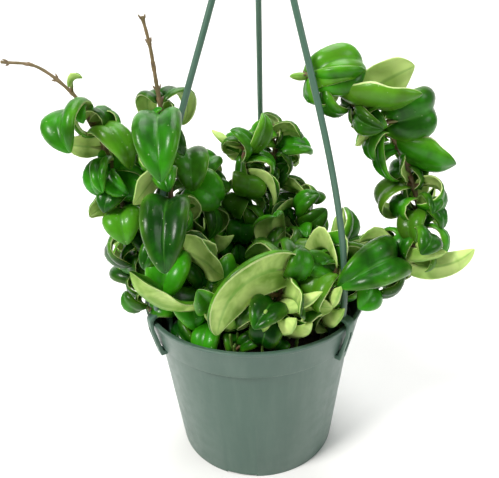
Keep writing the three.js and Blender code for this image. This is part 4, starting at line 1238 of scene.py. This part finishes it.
def makeRoom():
    # a floor that bends up into a back wall, a plain pale world and three soft lamps
    r = roomSettings
    skin = Skin("paleFloor", 6.0, 0.4, {"Roughness": 0.85, "Specular IOR Level": 0.2})
    shade = tuple(value * r["floorShade"] for value in r["floorColour"][:3]) + (1,)
    skin.link(skin.mix(skin.patches, shade, r["floorColour"]), skin.inputs["Base Color"])
    reach, bend = r["reach"], r["bend"]
    back = reach * 0.7
    profile = [(-reach, 0), (back - bend, 0)]
    profile += [(back - bend + bend * sin(a), bend - bend * cos(a)) for a in np.linspace(0.1, pi / 2, 12)]
    profile += [(back, r["rise"])]
    points = [(x, y, z) for y, z in profile for x in (-reach, reach)]
    faces = [(2 * i, 2 * i + 1, 2 * i + 3, 2 * i + 2) for i in range(len(profile) - 1)]
    floor = makePiece("floor", points, faces, [skin.material])
    world = bpy.data.worlds.new("studio")
    world.use_nodes = True
    background = world.node_tree.nodes["Background"].inputs
    background["Color"].default_value = r["worldColour"]
    sky = Shader(world.node_tree)
    seen = sky.add("ShaderNodeLightPath", {})["Is Camera Ray"]
    sky.link(sky.mixNumber(seen, r["worldStrength"], r["worldSeen"]), background["Strength"])
    bpy.context.scene.world = world
    for i, (place, target, size, power, tint) in enumerate(r["lights"]):
        light = bpy.data.lights.new(f"softbox{i}", "AREA")
        light.shape, light.size, light.energy, light.color = "DISK", size, power, tint
        lamp = addObject(light.name, light)
        lamp.location = place
        lamp.rotation_euler = (Vector(target) - Vector(place)).to_track_quat("-Z", "Y").to_euler()
    bpy.context.scene.view_settings.view_transform = "Standard"


def markStrands(crowd):
    # no small leaf may cross a strand, or hide the one that the photograph shows whole
    f, angles = fillerSettings, hangerSettings["angles"]
    for angle in angles.values():
        for shift in f["strandShifts"]:
            crowd.mark(strandLine(angle, 240) + np.array(shift))
    seen = strandLine(angles[f["seenStrand"]], 200)
    for ahead in f["beforeIt"]:
        for beside in f["besideIt"]:
            crowd.mark(seen + np.array([beside, 0, 0]) + ahead * unit(np.array(f["towardsViewer"])))


makeCamera()
makeRoom()
print("camera and room made")

hangerPlastic = plainSkin("hangerPlastic", 30.0, 1.2, (62, 96, 78), (82, 116, 98), (0.3, 0.45), 0.15, 0.0002)
makePot(makePotPlastic())
makeSoil(plainSkin("soilCrumb", 180.0, 2.0, (28, 20, 15), (70, 52, 38), (0.8, 1.0), 0.8, 0.0008))
for strandName, strandAngle in hangerSettings["angles"].items():
    makeStrand(strandName, strandAngle, hangerPlastic)
makeHook(hangerPlastic)
print("pot, soil and hanger made")

vineSkins = [makeLeafSkin(), makeStemBark(), makePetioleSkin()]
leafCrowd = Crowd(fillerSettings["cell"])
markStrands(leafCrowd)
vines = [Vine(vineName, vineRule, leafCrowd) for vineName, vineRule in stems.items()]
print("leaves of the frame found:", sum(vine.seated for vine in vines))
for vine in vines:
    vine.placeRimLeaves()
for vine in vines:
    vine.build(vineSkins)
